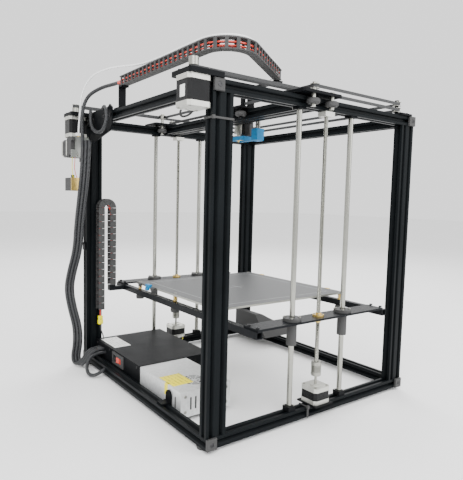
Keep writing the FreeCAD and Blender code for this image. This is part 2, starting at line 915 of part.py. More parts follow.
def carriage_plate():
    """The plate over the beam, with its wheel bolts, belt clamps and chain arm."""
    right = carriage_left + carriage_length
    parts = [block((carriage_left, right), (carriage_front, carriage_front + carriage_depth),
                   (carriage_low, carriage_top))]
    wheel_top = beam_top - half_bar + wheel_half
    for _, x, row in carriage_wheels:
        y = carriage_wheel_y(row)
        low = beam_top - half_bar - wheel_half - wheel_side_gap
        parts.append(round_bar(x, y, low - carriage_nut_height, carriage_low, bolt_radius))
        parts.append(round_bar(x, y, low - carriage_nut_height, low, bolt_head_radius))
        parts.append(round_bar(x, y, wheel_top + wheel_side_gap, carriage_low, spacer_radius))
    for y in (front_run, rear_run):
        for x in (clamp_left, clamp_right - clamp_block):
            parts.append(block((x, x + clamp_block), (y - clamp_block_half, y + clamp_block_half),
                               (carriage_top, carriage_top + clamp_block_height)))
    arm_y = (front_run + rear_run) / 2
    arm_right = carriage_left + arm_post
    parts.append(block((carriage_left, arm_right), (arm_y - arm_post_half, arm_y + arm_post_half),
                       (carriage_top, arm_height)))
    parts.append(block((carriage_left - arm_reach, arm_right), (arm_y - arm_half_width, arm_y + arm_half_width),
                       (arm_height - arm_thickness, arm_height)))
    return [joined(parts)]


def hot_end():
    """The heat block with its nozzle, the finned sink above it, and the fan housing."""
    block_top = nozzle_height + heat_block_height
    nozzle = turned([(0, 0), (nozzle_tip_radius, 0), (nozzle_radius, nozzle_height), (0, nozzle_height)])
    heater = block((-heat_block / 2, heat_block / 2), (-heat_block_depth / 2, heat_block_depth / 2),
                   (nozzle_height, block_top))
    sink_parts = [round_bar(0, 0, block_top, carriage_low - nozzle_tip, sink_core_radius)]
    for fin in range(fin_count):
        low = block_top + sink_core_radius + fin * fin_pitch
        sink_parts.append(round_bar(0, 0, low, low + fin_thickness, sink_radius))
    pieces = [moved(piece, nozzle_x, nozzle_y, nozzle_tip) for piece in (nozzle, heater, joined(sink_parts))]
    fan_left = nozzle_x - fan_size / 2 - fan_shift
    low = top - fan_size + fan_lift
    front = nozzle_y - fan_front
    frame = block((fan_left, fan_left + fan_size), (front, front + fan_depth), (low, low + fan_size))
    centre = V(fan_left + fan_size / 2, front, low + fan_size / 2)
    frame = frame.cut(Part.makeCylinder(fan_hole_radius, fan_hole_depth, centre, V(0, 1, 0)))
    return pieces + [frame]


def fan_duct():
    """The flared duct round the heat block."""
    xs = (nozzle_x - duct_left, nozzle_x + duct_right)
    low = nozzle_tip + duct_lift
    high = low + duct_height
    front = nozzle_y - fan_front
    outer = block(xs, (front, nozzle_y + duct_rear), (low, high))
    inner = block((xs[0] + duct_wall, xs[1] - duct_wall), (nozzle_y - duct_inner, nozzle_y + duct_inner),
                  (low - 1, high + 1))
    throat = block((xs[0] + throat_left, xs[1] - throat_right), (front + duct_wall, nozzle_y - throat_rear),
                   (low + duct_wall, high + 1))
    return [outer.cut([inner, throat])]


def level_sensor():
    """The square level sensor and the two studs that hang it from the carriage."""
    half = sensor_size / 2
    low = nozzle_tip - sensor_drop
    high = low + sensor_height
    case = block((sensor_x - half, sensor_x + half), (sensor_y - half, sensor_y + half), (low, high))
    case = case.makeChamfer(sensor_chamfer, [edge for edge in case.Edges if edge.BoundBox.ZMax < low + 0.1])
    studs = []
    for x in (sensor_x - stud_spacing / 2, sensor_x + stud_spacing / 2):
        nut_low = high + stud_nut_lift
        studs.append(joined([round_bar(x, sensor_y, high, carriage_low, stud_radius),
                             round_bar(x, sensor_y, nut_low, nut_low + stud_nut_height, stud_nut_radius)]))
    return [case] + studs


# ---- bed ----
def bed_plate():
    """The heated plate, with countersunk holes over its six springs."""
    half = bed_width / 2
    ys = (bed_centre_y - bed_depth / 2, bed_centre_y + bed_depth / 2)
    plate = block((-half, half), ys, (bed_height, bed_top))
    plate = plate.makeFillet(bed_corner, uprights(plate))
    return [plate.cut([round_bar(x, y, bed_height - 1, bed_top + 1, level_screw_radius + hole_gap)
                       for x, y in spring_places()])]


def spring_places():
    return [(x, y) for y in spring_ys for x in (-spring_spread, 0, spring_spread)]


def bed_frame():
    """Two side plates on two square cross tubes, and the arm for the bed's chain."""
    half = side_plate_width / 2
    pieces = []
    for side in (-1, 1):
        x = side * rod_x
        plate = block((x - half, x + half), (side_plate_front, side_plate_rear),
                      (side_plate_height, side_plate_top))
        holes = [round_bar(x, 0, 0, top, nut_body + hole_gap)]
        for end in (-1, 1):
            holes.append(round_bar(x, end * rod_spacing / 2, 0, top, bearing_radius + hole_gap))
        pieces.append(plate.cut(holes))
    reach = half_width + tube_overhang
    for y in tube_centres:
        ys = (y - tube_size / 2, y + tube_size / 2)
        low = side_plate_height - tube_size
        tube = block((-reach, reach), ys, (low, side_plate_height))
        hollow = block((-reach - 1, reach + 1), (ys[0] + tube_wall, ys[1] - tube_wall),
                       (low + tube_wall, side_plate_height - tube_wall))
        holes = [round_bar(x, place_y, 0, top, level_screw_radius + hole_gap)
                 for x, place_y in spring_places() if abs(place_y - y) < tube_size]
        pieces.append(tube.cut([hollow] + holes))
    rear = tube_centres[1] + tube_size / 2
    moving_y = bed_chain_fixed_y - 2 * bed_chain_radius
    half_link = chain_thickness / 2
    seat_low = bed_chain_end - chain_seat_height
    arm = block((bed_chain_centre_x - half_link, bed_chain_centre_x + half_link),
                (rear, moving_y + half_link), (bed_chain_end - chain_arm_drop, seat_low))
    seat = block((bed_chain_centre_x - half_link, bed_chain_centre_x + half_link),
                 (moving_y - half_link, moving_y + half_link), (seat_low, bed_chain_end))
    pieces.append(arm.fuse(seat).removeSplitter())
    return pieces


def bed_bearings():
    """Four flanged linear bearings in the side plates."""
    pieces = []
    for side in (-1, 1):
        for end in (-1, 1):
            x = side * rod_x
            y = end * rod_spacing / 2
            sleeve = round_bar(x, y, side_plate_height - bearing_drop, side_plate_top, bearing_radius)
            flange = round_bar(x, y, side_plate_top, side_plate_top + bearing_flange_height, bearing_flange)
            bore = round_bar(x, y, 0, top, rod_radius + running_fit)
            pieces.append(joined([sleeve, flange]).cut(bore))
    return pieces


def screw_nuts():
    """The flanged nuts that the lead screws lift."""
    nut = joined([round_bar(rod_x, 0, side_plate_height - nut_drop, side_plate_top + nut_rise, nut_body),
                  round_bar(rod_x, 0, side_plate_top, side_plate_top + nut_flange_height, nut_flange)])
    nut = nut.cut(round_bar(rod_x, 0, 0, top, screw_radius + running_fit))
    return [nut, other_side(nut)]


def spring():
    """A coil spring between a cross tube and the bed plate, standing on z = 0."""
    height = bed_height - side_plate_height - 2 * (spring_wire + spring_play)
    path = Part.makeHelix(height / spring_turns, height, spring_coil_radius)
    ring = Part.Wire([Part.makeCircle(spring_wire, V(spring_coil_radius, 0, 0), V(0, 1, 0))])
    coil = Part.Wire(path).makePipeShell([ring], True, True)
    return moved(coil, z=spring_wire + spring_play)


def levelling_sets():
    """At each of six places a screw, the spring round it and the thumb nut below."""
    pieces = []
    coil = spring()
    for x, y in spring_places():
        low = side_plate_height - tube_size
        pieces.append(moved(coil, x, y, side_plate_height))
        pieces.append(round_bar(x, y, low - thumb_nut_height, bed_top, level_screw_radius))
        nut = round_bar(x, y, low - thumb_nut_height, low, thumb_nut_radius)
        pieces.append(nut.cut(round_bar(x, y, 0, top, level_screw_radius)))
    return pieces


# ---- electronics ----
def supply_fan_place():
    return supply_left + supply_fan_inset, supply_rear - supply_width / 2


def power_supply():
    """The sheet-metal supply with a round grille over its fan."""
    xs = (supply_left, supply_left + supply_length)
    ys = (supply_rear - supply_width, supply_rear)
    high = supply_low + supply_height
    case = block(xs, ys, (supply_low, high))
    inside = block((xs[0] + supply_wall, xs[1] - supply_wall), (ys[0] + supply_wall, ys[1] - supply_wall),
                   (supply_low + supply_wall, high - supply_wall))
    x, y = supply_fan_place()
    shell = case.cut([inside, round_bar(x, y, high - 2 * supply_wall, high + 1, supply_fan_radius)])
    rings = []
    for radius in grille_radii:
        ring = round_bar(x, y, high - supply_wall, high, radius)
        rings.append(ring.cut(round_bar(x, y, 0, high + 1, radius - grille_bar)))
    spokes = []
    for turn in range(grille_spokes):
        spoke = block((-supply_fan_radius - 1, supply_fan_radius + 1), (-grille_bar / 2, grille_bar / 2),
                      (high - supply_wall, high))
        spokes.append(moved(spun(spoke, (0, 0, 1), turn * 180.0 / grille_spokes), x, y))
    pin = round_bar(x, y, supply_low + supply_wall, high - fan_pin_drop, fan_pin_radius)
    post = round_bar(x, y, supply_low + supply_wall, high - supply_fan_depth - gap, fan_post_radius)
    return [joined([shell] + rings + spokes + [pin, post])]


def supply_fan():
    """The fan rotor under the grille: a hub with slanted blades."""
    x, y = supply_fan_place()
    low = supply_low + supply_height - supply_fan_depth
    parts = [round_bar(0, 0, 0, fan_rotor_height, fan_hub_radius)]
    blade = block((fan_hub_radius - 1, supply_fan_radius - fan_tip_gap), (-fan_blade_half, fan_blade_half),
                  (-fan_blade_depth / 2, fan_blade_depth / 2))
    blade = moved(spun(blade, (1, 0, 0), fan_blade_tilt), z=fan_rotor_height / 2)
    for turn in range(fan_blades):
        parts.append(spun(blade, (0, 0, 1), turn * 360.0 / fan_blades))
    rotor = joined(parts).cut(round_bar(0, 0, -1, fan_rotor_height + 1, fan_pin_radius + running_fit))
    return [moved(rotor, x, y, low)]


def control_box():
    """The folded box that holds the board and takes in one end of the supply."""
    xs = (box_left, box_left + box_length)
    ys = (box_front, box_rear)
    case = block(xs, ys, (0, box_height))
    inside = block((xs[0] + box_wall, xs[1] - box_wall), (ys[0] + box_wall, ys[1] - box_wall),
                   (box_wall, box_height - box_wall))
    mouth = block((xs[0] - 1, xs[0] + 2 * box_wall), (supply_rear - supply_width - hole_gap, supply_rear),
                  (supply_low, supply_low + supply_height + hole_gap))
    window = block((inlet_left + inlet_rim, inlet_left + inlet_width - inlet_rim),
                   (ys[1] - 2 * box_wall, ys[1] + 1), (inlet_low + inlet_rim, inlet_high - inlet_rim))
    return [case.cut([inside, mouth, window])]


def control_board():
    """The printed board on its four stand-offs, with driver heat sinks and sockets."""
    left = box_left + board_left_gap
    front = box_front + board_front_gap
    low = box_wall + standoff_height
    face = low + board_thickness
    parts = [block((left, left + board_length), (front, front + board_depth), (low, face))]
    for x in (left + standoff_inset, left + board_length - standoff_inset):
        for y in (front + standoff_inset, front + board_depth - standoff_inset):
            parts.append(round_bar(x, y, box_wall, low, standoff_radius))
    for index in range(driver_count):
        x = left + driver_inset + index * driver_pitch
        y = front + driver_front
        parts.append(block((x, x + driver_size), (y, y + driver_size), (face, low + driver_height)))
        y = front + socket_front
        parts.append(block((x, x + socket_size[0]), (y, y + socket_size[1]), (face, low + driver_size)))
    x = left + chip_place[0]
    y = front + chip_place[1]
    parts.append(block((x, x + chip_size), (y, y + chip_size), (face, face + board_thickness)))
    return [joined(parts)]


def power_inlet():
    """The mains inlet with its three pins, set in the rear wall of the box."""
    xs = (inlet_left, inlet_left + inlet_width)
    zs = (inlet_low, inlet_high)
    flange = block(xs, (box_rear, box_rear + inlet_flange), zs)
    body = block((xs[0] + inlet_rim + hole_gap, xs[1] - inlet_rim - hole_gap),
                 (box_rear - inlet_depth, box_rear),
                 (zs[0] + inlet_rim + hole_gap, zs[1] - inlet_rim - hole_gap))
    middle = (zs[0] + zs[1]) / 2
    rear = box_rear + inlet_flange + 1
    socket_zs = (middle - mains_socket_half, middle + mains_socket_half)
    socket = block((rocker_left + rocker_width + mains_socket_side, xs[1] - mains_socket_side),
                   (box_rear - mains_socket_depth, rear), socket_zs)
    rocker = block((rocker_left - gap, rocker_left + rocker_width + gap), (box_rear - rocker_space, rear),
                   (middle - rocker_height / 2 - gap, middle + rocker_height / 2 + gap))
    housing = joined([flange, body]).cut([socket, rocker])
    pins = []
    centre = (socket.BoundBox.XMin + socket.BoundBox.XMax) / 2
    pin_ys = (box_rear - mains_socket_depth, box_rear)
    half_x, half_z = mains_pin_half
    for x, z in ((centre - mains_pin_spread, middle - mains_pin_rise),
                 (centre + mains_pin_spread, middle - mains_pin_rise), (centre, middle + mains_pin_rise)):
        pins.append(block((x - half_x, x + half_x), pin_ys, (z - half_z, z + half_z)))
    axle = round_bar(rocker_x, rocker_y, middle - rocker_height / 2 - 1, middle + rocker_height / 2 + 1,
                     rocker_axle_radius)
    return [joined([housing] + pins + [axle])]


def power_switch():
    """The rocker of the power switch, dished so that one end stands out."""
    middle = (inlet_low + inlet_high) / 2
    half = rocker_width / 2
    outline = [(-half + 0.6, 0), (-half + 0.6, 2.2), (0, 0.8), (half - 0.6, 3.6), (half - 0.6, 0.4),
               (3, -4.5), (-3, -4.5)]
    rocker = prism(outline, middle - rocker_height / 2, middle + rocker_height / 2)
    rocker = moved(rocker, rocker_x, rocker_y)
    return [rocker.cut(round_bar(rocker_x, rocker_y, 0, box_height, rocker_axle_radius + running_fit))]


def display_housing():
    """The sloping display case on the front rail, and its screen."""
    rear = -half_depth + display_rear_inset
    front = -rear_reach
    outline = [(front, bar), (front, display_front_height), (rear - display_ledge, display_top),
               (rear, display_top), (rear, bar)]
    case = prism(outline, display_left, display_right)
    case = spun(case, (1, 1, 1), 120)
    lean = display_lean
    wedge = prism([(display_left - 1, bar - 1), (display_left + lean, display_top),
                   (display_left + lean, display_top + 1), (display_left - 1, display_top + 1)],
                  front - 1, rear + 1)
    wedge = spun(wedge, (1, 0, 0), 90)
    wedge = wedge.mirror(V(0, 0, 0), V(0, 1, 0))
    case = case.cut(wedge)
    run = rear - display_ledge - front
    rise = display_top - display_front_height
    slope = math.hypot(run, rise)
    screen = block((display_left + lean + screen_left_border, display_right - screen_border),
                   (screen_border, slope - screen_border), (0, screen_thickness))
    screen = spun(screen, (1, 0, 0), math.degrees(math.atan2(rise, run)))
    screen = moved(screen, y=front, z=display_front_height)
    return [case, screen]


# ---- filament feed ----
def feed_body():
    """The block that guides the filament, with its clear cover and outlet fitting."""
    right = feed_plate_x
    left = right - feed_thickness
    low = feed_top - feed_height
    front = feed_y - feed_half
    inner = left + feed_cover
    cover_xs = (left, inner - hole_gap)
    base = block((right - feed_base, right), (front, feed_y + feed_half), (low, feed_top))
    guide = block((inner, right - feed_base), (front, feed_y + feed_guide_rear), (low, feed_top))
    space = Part.makeCylinder(feed_gear_radius, feed_thickness, V(right, feed_y, feed_axis_z), V(-1, 0, 0))
    guide = guide.cut([space])
    cover = block(cover_xs, (front, feed_y + feed_cover_rear), (low, feed_top))
    ear = block(cover_xs, (feed_y + feed_cover_rear, feed_y + feed_half), (low, low + feed_cover_ear))
    pin = Part.makeCylinder(lever_pin_radius, right - feed_base - cover_xs[1],
                            V(cover_xs[1], lever_pivot_y, lever_pivot_z), V(1, 0, 0))
    tube_x, tube_y, tube_z = feed_tube_route[0]
    fitting = round_bar(tube_x, tube_y, feed_top, tube_z, fitting_radius)
    head = V(left - cover_screw_height, feed_y - cover_screw_inset, feed_top - cover_screw_inset)
    screw = Part.makeCylinder(cover_screw_radius, cover_screw_height, head, V(1, 0, 0))
    return [joined([base, guide, pin]), joined([cover, ear, screw]), fitting]


def feed_lever():
    """The sprung lever that presses the filament against the drive gear."""
    right = feed_plate_x - feed_base - gap
    left = feed_plate_x - feed_thickness + feed_cover + gap
    ys = (lever_pivot_y - lever_half, lever_pivot_y + lever_half)
    high = feed_top - shaft_recess
    arm = block((left, right), ys, (lever_pivot_z, high))
    eye = Part.makeCylinder(lever_half, right - left, V(left, lever_pivot_y, lever_pivot_z), V(1, 0, 0))
    thumb = block((left - thumb_reach, right), ys, (high - thumb_height, high))
    bore = Part.makeCylinder(lever_pin_radius + running_fit, feed_thickness,
                             V(left - 1, lever_pivot_y, lever_pivot_z), V(1, 0, 0))
    return [joined([arm, eye, thumb]).cut(bore)]


def filament_sensor():
    """The filament sensor: dark case with a brass face, held off the post."""
    low = sensor_case_low
    high = low + sensor_case_height
    left = rod_x - sensor_case_reach[0]
    ys = (half_depth + sensor_stand_off, rear_reach - sensor_rear_inset)
    case = block((left, rod_x + sensor_case_reach[1]), ys, (low, high))
    arm = block((rod_x - sensor_arm_half, rod_x + sensor_arm_half), (half_depth, half_depth + sensor_stand_off),
                (low + sensor_arm_trim[0], high - sensor_arm_trim[1]))
    knob = round_bar(rod_x - sensor_knob_inset, rear_reach - sensor_knob_inset, high,
                     high + sensor_knob_height, sensor_knob_radius)
    face = block((left - sensor_face, left), ys, (low, high))
    return [joined([case, arm, knob]), face]


# ---- cable chains ----
def straight_links(start, end):
    """Chain links along a line in the XY plane, standing on z = 0."""
    length = math.dist(start, end)
    heading = math.degrees(math.atan2(end[1] - start[1], end[0] - start[0]))
    count = max(1, round(length / link_pitch))
    step = length / count
    half = chain_thickness / 2
    links = []
    for index in range(count):
        low = index * step + link_gap / 2
        high = (index + 1) * step - link_gap / 2
        third = (high - low) / 3
        parts = [block((low, high), (-half, half), (0, link_plate)),
                 block((low, high), (-half, half), (chain_height - link_plate, chain_height))]
        for y in (-half, half - link_plate):
            parts.append(block((low + third, high - third), (y, y + link_plate), (0, chain_height)))
        links.append(moved(spun(joined(parts), (0, 0, 1), heading), start[0], start[1]))
    return links


def ring_sector(outer, inner, low, high, first, last):
    """Part of a flat ring between two angles."""
    ring = Part.makeCylinder(outer, high - low, V(0, 0, low), V(0, 0, 1), last - first)
    ring = ring.cut(Part.makeCylinder(inner, high - low, V(0, 0, low), V(0, 0, 1), 360))
    return spun(ring, (0, 0, 1), first)


def curved_links(centre, radius, first, sweep):
    """Chain links round a bend in the XY plane, standing on z = 0."""
    count = max(2, round(math.radians(sweep) * radius / link_pitch))
    step = sweep / count
    spare = math.degrees(link_gap / radius) / 2
    outer = radius + chain_thickness / 2
    inner = radius - chain_thickness / 2
    links = []
    for index in range(count):
        low = first + index * step + spare
        high = first + (index + 1) * step - spare
        third = (high - low) / 3
        parts = [ring_sector(outer, inner, 0, link_plate, low, high),
                 ring_sector(outer, inner, chain_height - link_plate, chain_height, low, high),
                 ring_sector(outer, outer - link_plate, 0, chain_height, low + third, high - third),
                 ring_sector(inner + link_plate, inner, 0, chain_height, low + third, high - third)]
        links.append(moved(joined(parts), centre[0], centre[1]))
    return links


def top_chain_fixed():
    """The top chain from its bracket along the rear rail and round its bend."""
    y = half_depth - half_bar
    links = straight_links((top_chain_start - gap, y), (top_chain_turn_x, y))
    links += curved_links((top_chain_turn_x, y - top_chain_radius), top_chain_radius, 90, top_chain_turn)
    return [moved(link, z=top_chain_floor) for link in links]


def top_chain_moving():
    """The rest of the top chain, from its bend to the carriage arm."""
    y = half_depth - half_bar
    angle = math.radians(90 + top_chain_turn)
    start = (top_chain_turn_x + top_chain_radius * math.cos(angle),
             y - top_chain_radius + top_chain_radius * math.sin(angle))
    heading = angle + math.pi / 2
    end = (start[0] + top_chain_last * math.cos(heading), start[1] + top_chain_last * math.sin(heading))
    return [moved(link, z=top_chain_floor) for link in straight_links(start, end)]


def bed_chain():
    """The bed's chain: up beside the rear-right post, round its bend and down to the bed."""
    fixed = bed_chain_fixed_y
    moving = fixed - 2 * bed_chain_radius
    middle = (fixed + moving) / 2
    links = straight_links((fixed, bed_chain_foot), (fixed, bed_chain_top))
    links += curved_links((middle, bed_chain_top), bed_chain_radius, 0, 180)
    links += straight_links((moving, bed_chain_top), (moving, bed_chain_end + gap))
    left = bed_chain_centre_x - chain_height / 2
    return [moved(spun(link, (1, 1, 1), 120), x=left) for link in links]


# ---- cables ----
def cable(points, diameter):
    """A round tube along straight runs, with an arc at each corner."""
    corners = [V(*point) for point in points]
    edges = []
    last = corners[0]
    for index in range(1, len(corners) - 1):
        before = (corners[index - 1] - corners[index])
        after = (corners[index + 1] - corners[index])
        trim = arc_share * min(before.Length, after.Length)
        half_turn = (math.pi - before.getAngle(after)) / 2
        radius = trim / math.tan(half_turn)
        print("arc radius", round(radius, 1), "turn", round(math.degrees(2 * half_turn), 1))
        before.normalize()
        after.normalize()
        start = corners[index] + before * trim
        end = corners[index] + after * trim
        inward = (before + after).normalize()
        centre = corners[index] + inward * (radius / math.cos(half_turn))
        middle = centre - inward * radius
        edges.append(Part.LineSegment(last, start).toShape())
        edges.append(Part.Arc(start, middle, end).toShape())
        last = end
    edges.append(Part.LineSegment(last, corners[-1]).toShape())
    path = Part.Wire(edges)
    direction = corners[1] - corners[0]
    ring = Part.Wire([Part.makeCircle(diameter / 2, corners[0], direction)])
    tube = path.makePipeShell([ring], True, False)
    print("length", round(path.Length, 1), "volume ratio",
          round(tube.Volume / (math.pi * diameter ** 2 / 4 * path.Length), 4))
    return [tube]


def main():
    os.makedirs("parts", exist_ok=True)
    keep("frame_rails", frame_rails())
    keep("corner_posts", corner_posts())
    keep("feet_and_caps", feet_and_caps())
    keep("z_rods", z_rods())
    keep("rod_end_blocks", rod_end_blocks())
    keep("motors", motors())
    keep("mounting_plates", mounting_plates())
    keep("power_supply", power_supply())
    keep("supply_fan", supply_fan())
    keep("control_box", control_box())
    keep("control_board", control_board())
    keep("power_inlet", power_inlet())
    keep("power_switch", power_switch())
    keep("display", display_housing())
    keep("feed_body", feed_body())
    keep("feed_lever", feed_lever())
    keep("filament_sensor", filament_sensor())
    keep("cable_harness", cable(harness_route, harness_diameter))
    keep("cable_loop", cable(loop_route, loop_diameter))
    keep("feed_tube", cable(feed_tube_route, feed_tube_diameter))
    keep("drop_tube", cable(drop_tube_route, feed_tube_diameter))
    keep("fixed_belts", both_belts([fixed_belt(lower_belt)], [fixed_belt(upper_belt)]))
    keep("side_belts", both_belts(side_belts(lower_belt), side_belts(upper_belt)))
    keep("gantry_belts", both_belts(gantry_belts(lower_belt, clamp_left, clamp_right),
                                    gantry_belts(upper_belt, -clamp_right, -clamp_left)))
    keep("top_chain_fixed", top_chain_fixed())
    keep("top_chain_moving", top_chain_moving())
    keep("bed_chain", bed_chain())
    keep("gantry_end_plates", end_plates())
    keep("gantry_beam", gantry_beam())
    keep("gantry_bolts", gantry_bolts())
    keep("carriage_plate", carriage_plate())
    keep("hot_end", hot_end())
    keep("fan_duct", fan_duct())
    keep("level_sensor", level_sensor())
    keep("bed_plate", bed_plate())
    keep("bed_frame", bed_frame())
    keep("bed_bearings", bed_bearings())
    keep("screw_nuts", screw_nuts())
    keep("levelling_sets", levelling_sets())
    for side, name in ((-1, "left"), (1, "right")):
        keep("lead_screw_" + name, lead_screw(side))
        keep("drive_pulley_" + name, drive_pulley(side))
        keep("front_idler_lower_" + name, idler(side * pulley_x, front_idler_y, lower_belt))
        keep("front_idler_upper_" + name, idler(side * pulley_x, front_idler_y, upper_belt))
        inner_belt, outer_belt = (lower_belt, upper_belt) if side < 0 else (upper_belt, lower_belt)
        keep("gantry_idler_inner_" + name, idler(side * inner_wheel_x, inner_wheel_y, inner_belt))
        keep("gantry_idler_outer_" + name, idler(side * pulley_x, outer_idler_y, outer_belt))
        keep("gantry_wheel_front_" + name, vee_wheel(side * outer_wheel_x, outer_wheel_front, wheel_z))
        keep("gantry_wheel_rear_" + name, vee_wheel(side * outer_wheel_x, outer_wheel_rear, wheel_z))
        keep("gantry_wheel_inner_" + name, vee_wheel(side * inner_wheel_x, inner_wheel_y, wheel_z))
    for name, x, row in carriage_wheels:
        keep(name, vee_wheel(x, carriage_wheel_y(row), beam_top - half_bar))


main()
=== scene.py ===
import math

import bmesh
import bpy
from mathutils import Matrix, Vector


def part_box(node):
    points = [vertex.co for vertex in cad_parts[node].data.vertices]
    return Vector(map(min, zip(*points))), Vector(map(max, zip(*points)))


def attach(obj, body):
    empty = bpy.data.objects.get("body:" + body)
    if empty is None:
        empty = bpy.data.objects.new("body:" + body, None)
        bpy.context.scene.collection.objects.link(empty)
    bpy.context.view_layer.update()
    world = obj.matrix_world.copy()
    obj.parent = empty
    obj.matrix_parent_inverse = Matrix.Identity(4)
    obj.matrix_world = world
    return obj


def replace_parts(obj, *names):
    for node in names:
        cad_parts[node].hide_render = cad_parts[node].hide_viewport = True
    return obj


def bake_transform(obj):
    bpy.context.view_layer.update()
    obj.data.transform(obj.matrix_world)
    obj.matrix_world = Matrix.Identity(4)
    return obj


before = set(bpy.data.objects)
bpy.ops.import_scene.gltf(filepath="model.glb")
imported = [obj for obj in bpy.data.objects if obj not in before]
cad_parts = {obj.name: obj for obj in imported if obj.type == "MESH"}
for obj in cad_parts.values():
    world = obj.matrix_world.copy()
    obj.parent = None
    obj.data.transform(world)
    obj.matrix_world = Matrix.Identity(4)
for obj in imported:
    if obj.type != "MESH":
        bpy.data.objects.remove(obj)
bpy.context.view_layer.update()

bl_info = {
    "name": "Cube Frame Printer Looks",
    "version": (1, 0, 0),
    "blender": (4, 5, 0),
    "location": "3D View > Sidebar > Printer",
    "description": "Finishes, cables, fasteners and stage for an open cube-frame 3-D printer",
    "category": "Object",
}

MM = 0.001
UP = Vector((0, 0, 1))
FOOT = 7.0
SIDES = (-1, 1)


# ---------------------------------------------------------------- settings
def colour(name, default, description):
    return bpy.props.FloatVectorProperty(name=name, description=description, default=default,
                                         size=3, min=0.0, max=1.0, subtype="COLOR")


def length(name, default, description):
    return bpy.props.FloatProperty(name=name, description=description, default=default,
                                   min=0.0, unit="LENGTH")


class PrinterColours(bpy.types.PropertyGroup):
    """Base colours of the printer's finishes."""
    bar: colour("Bar", (0.0035, 0.0045, 0.0052), "Black anodised slotted bar")
    coat: colour("Coat", (0.0045, 0.005, 0.0058), "Black powder coat on plates and boxes")
    plastic: colour("Plastic", (0.0045, 0.0046, 0.005), "Black moulded plastic")
    steel: colour("Steel", (0.36, 0.36, 0.325), "Ground steel rods and screws")
    cast: colour("Cast aluminium", (0.56, 0.56, 0.52), "Motor end caps")
    brass: colour("Brass", (0.66, 0.47, 0.14), "Nuts, springs and nozzle")
    blue: colour("Blue", (0.002, 0.155, 0.345), "Printed blue duct and sensor")
    sheet: colour("Sheet metal", (0.7, 0.71, 0.71), "Power supply case")
    bed: colour("Bed", (0.021, 0.0235, 0.025), "Textured build surface")
    yellow: colour("Yellow", (0.88, 0.76, 0.01), "Warning label and wires")
    red: colour("Red", (0.40, 0.02, 0.011), "Rocker and bed wires")
    paper: colour("Paper", (0.78, 0.79, 0.77), "Rating label")
    tube: colour("Tube", (0.86, 0.88, 0.87), "Filament tube")


class PrinterSizes(bpy.types.PropertyGroup):
    """Sizes of the pieces that are added round the frame."""
    screw_head: length("Screw head", 0.0028, "Radius of a small socket-head screw")
    wire: length("Wire", 0.0016, "Thickness of a single wire")
    harness: length("Harness", 0.008, "Thickness of the sleeved cable harness")
    feed_tube: length("Feed tube", 0.004, "Outside diameter of the filament tube")
    thread_pitch: length("Thread pitch", 0.002, "Distance from crest to crest on a lead screw")
    label: length("Label", 0.0003, "Thickness of a stuck-on label")


def colours():
    return bpy.context.scene.printer_colours


def sizes():
    return bpy.context.scene.printer_sizes


# ---------------------------------------------------------------- shader maths
class Signal:
    """A number that varies over a surface, with ordinary arithmetic."""

    def __init__(self, finish, socket):
        self.finish = finish
        self.socket = socket

    def maths(self, operation, *values):
        return self.finish.node("ShaderNodeMath", {"operation": operation}, dict(enumerate(values)))

    def __add__(self, other):
        return self.maths("ADD", self, other)

    def __radd__(self, other):
        return self.maths("ADD", other, self)

    def __sub__(self, other):
        return self.maths("SUBTRACT", self, other)

    def __rsub__(self, other):
        return self.maths("SUBTRACT", other, self)

    def __mul__(self, other):
        return self.maths("MULTIPLY", self, other)

    def __rmul__(self, other):
        return self.maths("MULTIPLY", other, self)

    def above(self, level):
        return self.maths("GREATER_THAN", self, level)

    def below(self, level):
        return self.maths("LESS_THAN", self, level)

    def wave(self):
        return self.maths("SINE", self)

    def size(self):
        return self.maths("ABSOLUTE", self)


class Finish:
    """One procedural material, built round a Principled shader."""

    def __init__(self, name):
        self.material = bpy.data.materials.new(name)
        self.material.use_nodes = True
        self.tree = self.material.node_tree
        self.shader = self.tree.nodes["Principled BSDF"]

    def node(self, kind, settings=None, links=None, out=0):
        """Add a node: its settings first, then the values or links of its sockets."""
        made = self.tree.nodes.new(kind)
        for key, value in (settings or {}).items():
            setattr(made, key, value)
        for key, value in (links or {}).items():
            self.put(made.inputs[key], value)
        return Signal(self, made.outputs[out])

    def put(self, socket, value):
        """Link a signal to a socket, or set a constant on it."""
        if isinstance(value, Signal):
            self.tree.links.new(value.socket, socket)
        else:
            socket.default_value = value

    def place(self, stretch=(1.0, 1.0, 1.0)):
        """Place on the object, stretched along its axes."""
        at = self.node("ShaderNodeTexCoord", out=3)
        return self.node("ShaderNodeVectorMath", {"operation": "MULTIPLY"}, {0: at, 1: stretch})

    def along(self, axis):
        """Distance along X, Y or Z, in metres."""
        return self.node("ShaderNodeSeparateXYZ", None, {0: self.place()}, out="XYZ".index(axis))

    def noise(self, scale, detail=4.0, stretch=(1.0, 1.0, 1.0)):
        return self.node("ShaderNodeTexNoise", None,
                         {"Vector": self.place(stretch), "Scale": scale, "Detail": detail})

    def cells(self, scale):
        return self.node("ShaderNodeTexVoronoi", None, {"Vector": self.place(), "Scale": scale})

    def mix(self, share, first, second):
        """A colour between two others."""
        ends = [end if isinstance(end, Signal) else (*end, 1.0) for end in (first, second)]
        return self.node("ShaderNodeMix", {"data_type": "RGBA"}, {0: share, 6: ends[0], 7: ends[1]}, out=2)

    def tint(self, share, tone, low, high):
        """A tone that wanders between two strengths of itself."""
        return self.mix(share, shade(tone, low), shade(tone, high))

    def bumps(self, height, depth, distance=0.0004):
        return self.node("ShaderNodeBump", None, {"Strength": depth, "Distance": distance, "Height": height})

    def finish(self, **inputs):
        """Set the shader's sockets: constants directly, signals by links."""
        for key, value in inputs.items():
            self.put(self.shader.inputs[key.replace("_", " ")], value)
        return self.material


DULL_BLACK = 0.05


def shade(tone, factor):
    return tuple(min(1.0, part * factor) for part in tone)


